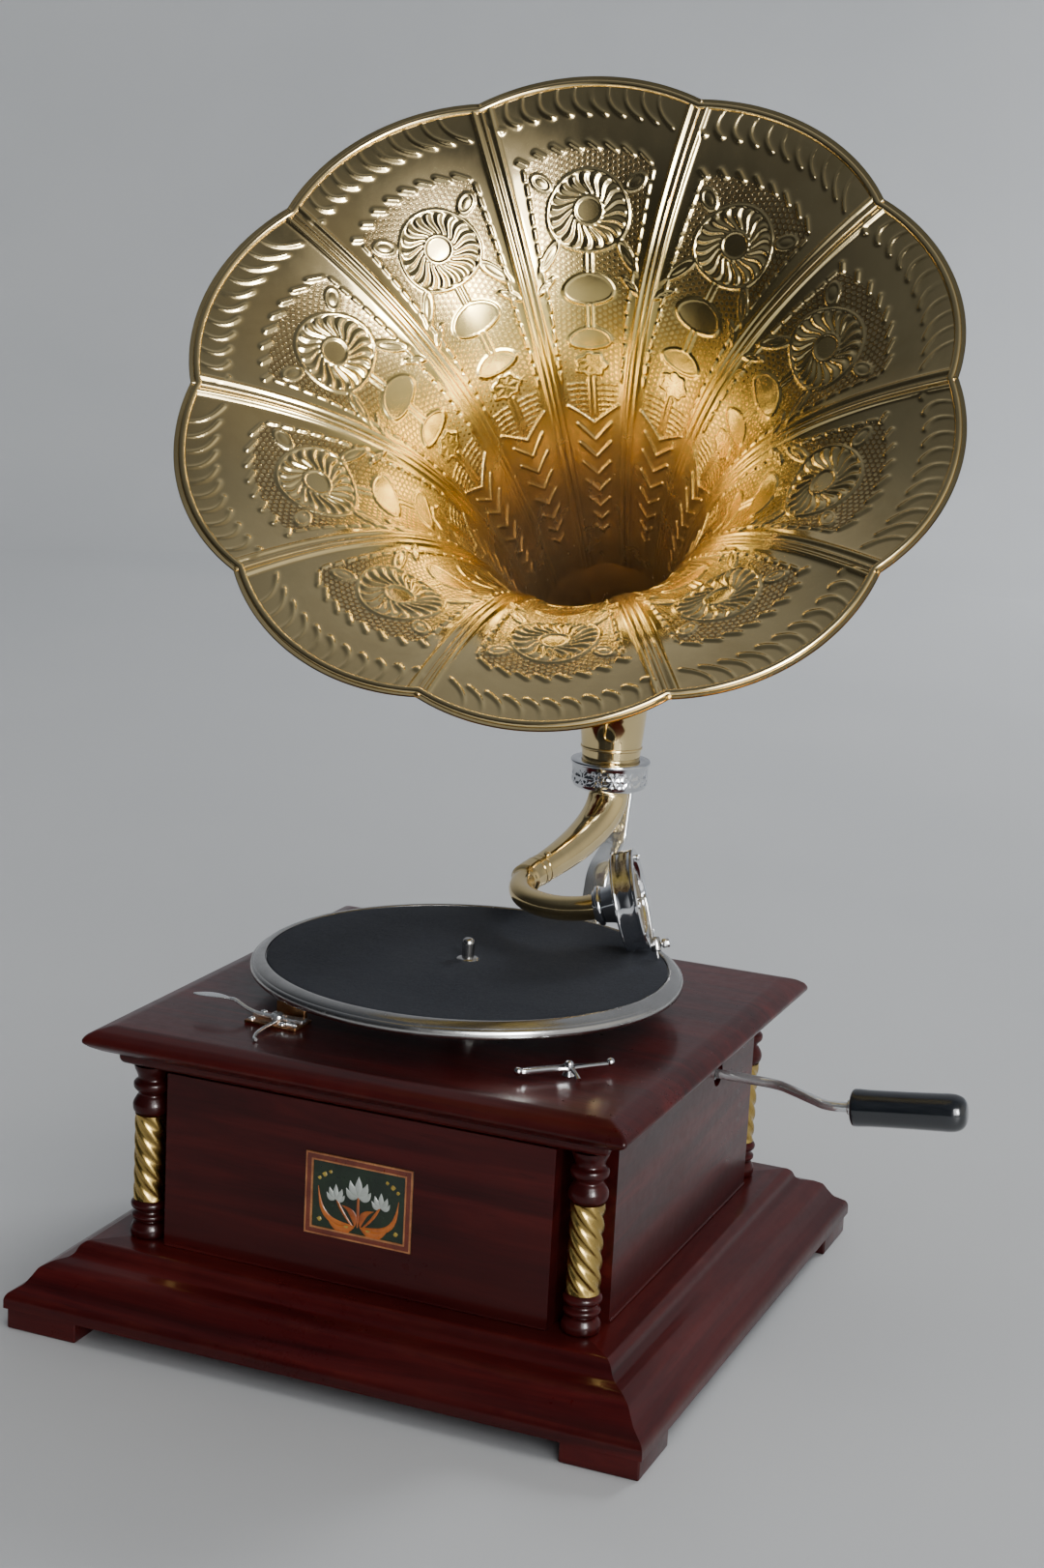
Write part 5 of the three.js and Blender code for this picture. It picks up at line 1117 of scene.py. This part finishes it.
def build_stylus():
    """The stylus bar from the diaphragm's middle over the rim to the chuck, the needle and its thumb screw."""
    reach = math.hypot(34.7, 14)
    along = (-RISE * 34.7 - BACK * 14) / reach
    lateral = np.cross(OUT, along)
    bar = []
    for x, half, low, high in ((-2.5, 1.0, 7.5, 9.0), (0, 2.2, 7.4, 9.3), (6, 1.5, 7.4, 9.6),
                               (16, 1.4, 7.4, 9.8), (24, 2.1, 7.3, 9.8), (28.5, 2.4, 7.3, 9.8), (30, 1.8, 7.4,
                                                                                                 9.6)):
        bar.append([BOX + along * x + lateral * half * math.copysign(abs(math.cos(t)) ** 0.5, math.cos(t))
                    + OUT * ((low + high) / 2 + (high - low) / 2 * math.copysign(abs(math.sin(t)) ** 0.5,
                                                                                 math.sin(t)))
                    for t in np.linspace(0, 2 * np.pi, 16, endpoint=False)])
    bars = smooth_line(np.array(bar).reshape(7, -1), 5).reshape(-1, 16, 3)
    post, post_f = tube([BOX + OUT * s for s in (1.9, 3, 5, 7, 8.4)], [2.2, 1.3, 1.0, 1.1, 1.5], 20)
    chuck_at = BOX + OUT * 10.3
    chuck, chuck_f = tube([chuck_at + along * x for x in (23.9, 24.3, 25, 31.6, 32.2, 32.7)],
                          [2.3, 2.8, 3.0, 3.0, 2.7, 1.2], 32)
    p, f = merged(capped(bars), (post, post_f), (chuck, chuck_f))
    make("stylus_lever", p, f, NICKEL, "sound_box", ["stylus_bar"], 45)
    p, f = tube([chuck_at + along * x for x in (27, 33, 35.6, 36.6, reach)], [0.85, 0.85, 0.8, 0.6, 0.05], 16)
    make("needle_point", p, f, STEEL, "sound_box", ["needle"], 60)
    knob = np.array([(0.6, 0), (1.3, 0), (1.3, 2.1), (2.1, 2.3), (2.6, 2.8), (2.6, 6.3), (2.2, 6.9),
                     (0.02, 7.1)])
    p, f = lathe(knob, 72)
    radial = np.hypot(p[:, 0], p[:, 1])
    knurl = 1 + 0.05 * (np.arange(len(p)) % 3 == 0) * (radial > 2.5)
    p[:, :2] *= knurl[:, None]
    make("thumb_knob", turned(p, BOX + along * 28.4 + OUT * 11.7, OUT, RISE), f, CHROME, "needle_screw",
         ["needle_screw"], 40)


# Crank: bush, bent rod and turned grip

CRANK = np.array([141.0, 48.0, 138.0])
GRIP_WAY = np.array([1, math.tan(math.radians(4)), math.tan(math.radians(6))])
GRIP_WAY /= np.linalg.norm(GRIP_WAY)


def build_crank():
    radial = np.array([0, math.cos(math.radians(170)), math.sin(math.radians(170))])
    first = CRANK + (37, 0, 0)
    second = first + np.array([40, 0, 0]) + radial * 42
    grip = second + GRIP_WAY * 14
    line = rounded_line([CRANK + (-0.9, 0, 0), first, second, grip + GRIP_WAY * 53.4], 9, 10)
    line = np.array([line[0]] + [q for a, b in zip(line, line[1:]) for q in np.linspace(a, b, 3)[1:]])
    p, f = tube(line, 2.9, 28)
    collars = []
    for place, way, radius, half in ((CRANK + (4.5, 0, 0), (1, 0, 0), 4.4, 1.6),
                                     (grip - GRIP_WAY * 1.4, GRIP_WAY, 4.2, 1.1)):
        profile = [(2.8, -half), (radius * 0.93, -half), (radius, -half * 0.6), (radius, half * 0.6),
                   (radius * 0.93, half), (2.8, half)]
        cp, cf = lathe(profile, 40)
        collars.append((turned(cp, place, way), cf))
    p, f = merged((p, f), *collars)
    make("crank_rod", p, f, ZINC, "crank", ["crank_arm"], 50)
    profile = smooth_line([(9.0, 0.0), (10.1, 0.9), (10.5, 3.2), (10.2, 12), (10.25, 32), (10.5, 49),
                           (10.6, 54), (10.1, 58.2),
                           (8.4, 61.6), (5.2, 63.5), (0.02, 64.0)], 6)
    profile = np.vstack([[(3.3, 1.0), (3.3, 0.0)], profile])
    p, f = lathe(profile, 64)
    make("crank_grip_turned", turned(p, grip, GRIP_WAY), f, BLACK, "crank_grip", ["crank_handle"],
         60)
    profile = [(3.5, -5), (7.3, -5), (7.3, 0.3), (10.2, 0.3), (10.5, 0.6), (10.5, 1.2), (10.0, 1.8),
               (4.2, 1.8), (3.5, 1.3), (3.5, -5)]
    p, f = lathe(profile, 64)
    make("crank_ferrule", turned(p, CRANK, (1, 0, 0)), f, CHROME, "cabinet", ["crank_bush"], 40)


# Brake and speed lever on the lid

def build_brake():
    base = np.array([-72.0, -96.0, 172.0])
    top = base + (0, 0, 2.3)
    shank = smooth_line([(5, 0, 1.1), (0, 0, 1.2), (-11, -0.5, 1.3), (-19, -1, 3.4), (-26, -1.6, 7.0),
                         (-30, -2, 7.8)], 8)
    rod, rod_f = tube(top + shank, np.interp(np.linspace(0, 1, len(shank)), [0, 0.3, 0.8, 1],
                                             [1.9, 1.4, 1.2, 0.9]), 18)
    leaf = []
    for t, half in ((0, 1.0), (0.08, 1.6), (0.25, 3.0), (0.5, 4.0), (0.72, 3.7), (0.9, 2.2), (1, 0.5)):
        x, y = -29 - 22.5 * t, -1.9 - 2.2 * t
        z = 7.6 + 1.0 * math.sin(math.pi * t)
        leaf.append([top + (x + 0.1 * half * math.cos(a), y + half * math.cos(a), z + 0.55
                            * math.sin(a) - 0.02 * (half * math.cos(a)) ** 2)
                     for a in np.linspace(0, 2 * np.pi, 18, endpoint=False)])
    leaves = smooth_line(np.array(leaf).reshape(7, -1), 4).reshape(-1, 18, 3)
    hub, hub_f = lathe([(0.02, 4.2), (2.2, 4.1), (3.3, 3.4), (4.1, 2.6), (4.1, 0), (2.4, -0.4), (2.4, -9)],
                       32)
    pad = soft_box(top + (3, -3.2, 0.1), top + (16.5, 3.2, 2.4), 0.5)
    p, f = merged((rod, rod_f), capped(leaves), (hub + top, hub_f), pad)
    make("brake_arm", p, f, ZINC, "brake", ["brake_lever"], 45)
    plate, plate_f = soft_box(base + (-16, -10, 0), base + (16, 10, 2.0), 0.6)
    block, block_f = soft_box(base + (-4.5, 6, 0), base + (13.5, 10, 11), 0.8)
    make("brake_block", block, block_f, BRONZE, "cabinet", angle=45)
    heads = []
    for x, y, z in ((-12.7, -7.2, 1.95), (-12.7, 7.2, 1.95), (6.5, -7.7, 1.95), (-1.5, 8, 10.9),
                    (10.5, 8, 10.9)):
        hp, hf = slotted_head(1.9, 1.5)
        heads.append((hp + base + (x, y, z), hf))
    wire = smooth_line([(2.2, -6.6, 2.9), (2, -10, 3.0), (1.5, -17, 2.8), (1, -26, 1.9), (3.5, -34, 1.6),
                        (6, -36.5, 1.5)], 8)
    wp, wf = tube(base + wire, 0.95, 12)
    t = np.linspace(0, 6 * 2 * np.pi, 150)
    spring = np.stack([9.8 + 5.4 * t / t[-1], -8.4 + 1.1 * np.cos(t), 3.4 + 1.1 * np.sin(t)], -1)
    gp, gf = tube(base + spring, 0.35, 8)
    make("brake_base", plate, plate_f, BRONZE, "cabinet", ["brake_plate"], 45)
    p, f = merged((wp, wf), (gp, gf), *heads)
    make("brake_spring", p, f, ZINC, "cabinet", angle=45)


def build_speed_lever():
    hub_at = np.array([102.0, -94.0, 172.3])
    a = math.radians(46)
    way, across = np.array([math.cos(a), math.sin(a), 0]), np.array([-math.sin(a), math.cos(a), 0])
    section = [(math.copysign(abs(math.cos(t)) ** 0.5, math.cos(t)),
                math.copysign(abs(math.sin(t)) ** 0.5, math.sin(t)))
               for t in np.linspace(0, 2 * np.pi, 16, endpoint=False)]
    bar = []
    for x, half, thick in ((-29, 0.9, 0.7), (-26, 2.0, 1.7), (-10, 1.9, 1.7), (-4, 2.6, 1.2), (0, 3.4, 1.1),
                           (4, 2.6, 1.1), (13, 1.6, 1.0), (22, 1.2, 1.0), (24.5, 0.9, 0.8)):
        bar.append([hub_at + way * x + across * half * u + np.array([0, 0, 4.2 + thick * v]) for u,
                    v in section])
    bars = smooth_line(np.array(bar).reshape(9, -1), 4).reshape(-1, 16, 3)
    ball = [(0.02, 2.3), (1.2, 2.0), (2.0, 1.1), (2.3, 0), (2.0, -1.1), (1.2, -2.0), (0.02, -2.3)]
    knobs = []
    for x, z in ((-29.5, 4.6), (24.5, 5.2)):
        bp, bf = lathe(smooth_line(ball, 4), 28)
        knobs.append((bp + hub_at + way * x + (0, 0, z), bf))
    hp, hf = lathe([(0.02, 8.0), (1.6, 7.8), (2.4, 7.0), (2.4, 5.6), (3.6, 5.4), (3.6, 2.8), (2.6, 2.4),
                    (3.4, 0.6), (3.6, 0), (2.4, -0.3), (2.4, -8.7)], 32)
    fp, ff = tube([hub_at + across * y + np.array([0, 0, z]) for y,
                   z in ((0, 4.2), (-5, 4.0), (-9.5, 3.2), (-12.5, 1.2))], [1.6, 1.3, 1.2, 1.7], 16)
    p, f = merged(capped(bars), (hp + hub_at, hf), (fp, ff), *knobs)
    make("speed_arm", p, f, CHROME, "speed_control", ["speed_lever"], 45)


build_base()
build_lid()
build_columns()
build_panels()
build_plate()
build_turntable()
build_petals()
build_rim()
build_elbow()
build_socket()
build_bracket()
build_screws()
build_tone_arm()
build_gooseneck()
build_sound_box()
build_stylus()
build_crank()
build_brake()
build_speed_lever()


# Stage, lights and camera

FLOOR_REACH, SWEEP, WALL_TOP = 3.2, 1.4, 3.6


def build_stage():
    """A pale round floor that sweeps up into a wall on all sides, so that every view has a plain ground."""
    m = Finish("floor_pale")
    cloud = m.noise(m.place(), 2.2, 5)
    grain = m.noise(m.place(), 180, 3)
    m.set(Base_Color=m.mix(cloud, (0.47, 0.48, 0.49), (0.54, 0.545, 0.55)),
          Roughness=m.span(cloud, 0.3, 0.7, 0.5, 0.62), Specular_IOR_Level=0.2, Normal=m.bump(grain, 0.04,
                                                                                              0.0005))
    angles = np.linspace(0, np.pi / 2, 17)
    bend = [(FLOOR_REACH + SWEEP * math.sin(a), SWEEP - SWEEP * math.cos(a)) for a in angles]
    for name, profile, in_mirrors in (("floor", [(0.001, 0.0), (1.0, 0.0), (FLOOR_REACH, 0.0)], True),
                                      ("backdrop", bend + [(FLOOR_REACH + SWEEP, WALL_TOP)], False)):
        points, faces = lathe(profile, 96)
        mesh = bpy.data.meshes.new(name)
        mesh.from_pydata(points.tolist(), [], faces)
        mesh.shade_smooth()
        mesh.materials.append(m.material)
        sheet = bpy.data.objects.new(name, mesh)
        bpy.context.scene.collection.objects.link(sheet)
        sheet.visible_glossy = in_mirrors


def toward(azimuth, elevation):
    """A direction from the object: azimuth from the front towards the crank's side, in degrees."""
    a, e = math.radians(azimuth), math.radians(elevation)
    return Vector((math.sin(a) * math.cos(e), -math.cos(a) * math.cos(e), math.sin(e)))


def area_light(name, azimuth, elevation, distance, size, power, colour=(1, 1, 1), in_mirrors=True,
               on_matt=True,
               target=(0, 0, 0.4)):
    light = bpy.data.lights.new(name, "AREA")
    light.shape = "RECTANGLE"
    light.size, light.size_y = size
    light.energy = power
    light.color = colour
    lamp = bpy.data.objects.new(name, light)
    bpy.context.scene.collection.objects.link(lamp)
    way = toward(azimuth, elevation)
    lamp.location = Vector(target) + way * distance
    lamp.rotation_euler = (-way).to_track_quat("-Z", "Y").to_euler()
    lamp.visible_glossy = in_mirrors
    lamp.visible_diffuse = on_matt
    lamp.visible_camera = False
    return lamp


def build_light():
    """The room that the metal mirrors: dim in front and on the left, a window on the right and a pale far side."""
    world = bpy.data.worlds.new("studio")
    bpy.context.scene.world = world
    world.use_nodes = True
    tree = world.node_tree
    way = tree.nodes.new("ShaderNodeTexCoord").outputs["Generated"]

    def link(value, socket):
        if isinstance(value, bpy.types.NodeSocket):
            tree.links.new(value, socket)
        else:
            socket.default_value = value

    def patch(azimuth, elevation, inner, outer, colour, base):
        """Adds a soft round patch of light to the room, full within one angle and gone past the other."""
        dot = tree.nodes.new("ShaderNodeVectorMath")
        dot.operation = "DOT_PRODUCT"
        link(way, dot.inputs[0])
        dot.inputs[1].default_value = toward(azimuth, elevation)
        fade = tree.nodes.new("ShaderNodeMapRange")
        fade.interpolation_type = "SMOOTHSTEP"
        link(dot.outputs["Value"], fade.inputs[0])
        fade.inputs[1].default_value = math.cos(math.radians(outer))
        fade.inputs[2].default_value = math.cos(math.radians(inner))
        mix = tree.nodes.new("ShaderNodeMix")
        mix.data_type = "RGBA"
        link(fade.outputs[0], mix.inputs[0])
        link(base, mix.inputs[6])
        mix.inputs[7].default_value = (*colour, 1)
        return mix.outputs[2]

    room = (0.030, 0.032, 0.036, 1)
    for azimuth, elevation, inner, outer, colour in (
            (0, 90, 5, 75, (0.11, 0.12, 0.135)),
            (84, 40, 12, 40, (0.24, 0.235, 0.22)),
            (180, 15, 30, 90, (0.36, 0.375, 0.40)),
            (95, 4, 10, 46, (0.70, 0.69, 0.65)),
            (44, 12, 22, 40, (0.60, 0.61, 0.62))):
        room = patch(azimuth, elevation, inner, outer, colour, room)
    link(room, tree.nodes["Background"].inputs[0])
    tree.nodes["Background"].inputs[1].default_value = 1.0
    area_light("window", 42, 19, 2.9, (1.7, 1.9), 90, (0.98, 0.99, 1.0), on_matt=False)
    area_light("window_sun", 48, 18, 2.85, (0.62, 1.0), 120, (1.0, 0.99, 0.96), on_matt=False)
    area_light("daylight", 40, 21, 2.9, (1.8, 1.6), 34, (0.98, 0.99, 1.0), in_mirrors=False)
    area_light("ceiling", 60, 74, 2.9, (2.4, 2.4), 42, (1.0, 0.99, 0.97), in_mirrors=False)
    area_light("wall_wash", 120, 62, 2.6, (2.4, 1.0), 185, (0.94, 0.97, 1.0), in_mirrors=False,
               target=(0.3, 3.4, 0.3))


def build_camera():
    az, el, roll = math.radians(22.18), math.radians(12.46), math.radians(3.00)
    place = np.array([565.5, -1318.1, 618.8]) * MM + ORIGIN
    forward = Vector((-math.sin(az) * math.cos(el), math.cos(az) * math.cos(el), -math.sin(el)))
    right = Vector((math.cos(az), math.sin(az), 0))
    up = right.cross(forward)
    r = math.cos(roll) * right + math.sin(roll) * up
    u = -math.sin(roll) * right + math.cos(roll) * up
    lens = bpy.data.cameras.new("photo_camera")
    lens.sensor_fit = "VERTICAL"
    lens.sensor_height = 36.0
    lens.lens = 2664.8 * 36.0 / 1622
    lens.clip_end = 100
    camera = bpy.data.objects.new("photo_camera", lens)
    camera.matrix_world = Matrix(((r.x, u.x, -forward.x, place[0]), (r.y, u.y, -forward.y, place[1]),
                                  (r.z, u.z, -forward.z, place[2]), (0, 0, 0, 1)))
    bpy.context.scene.collection.objects.link(camera)
    bpy.context.scene.camera = camera


build_stage()
build_light()
build_camera()
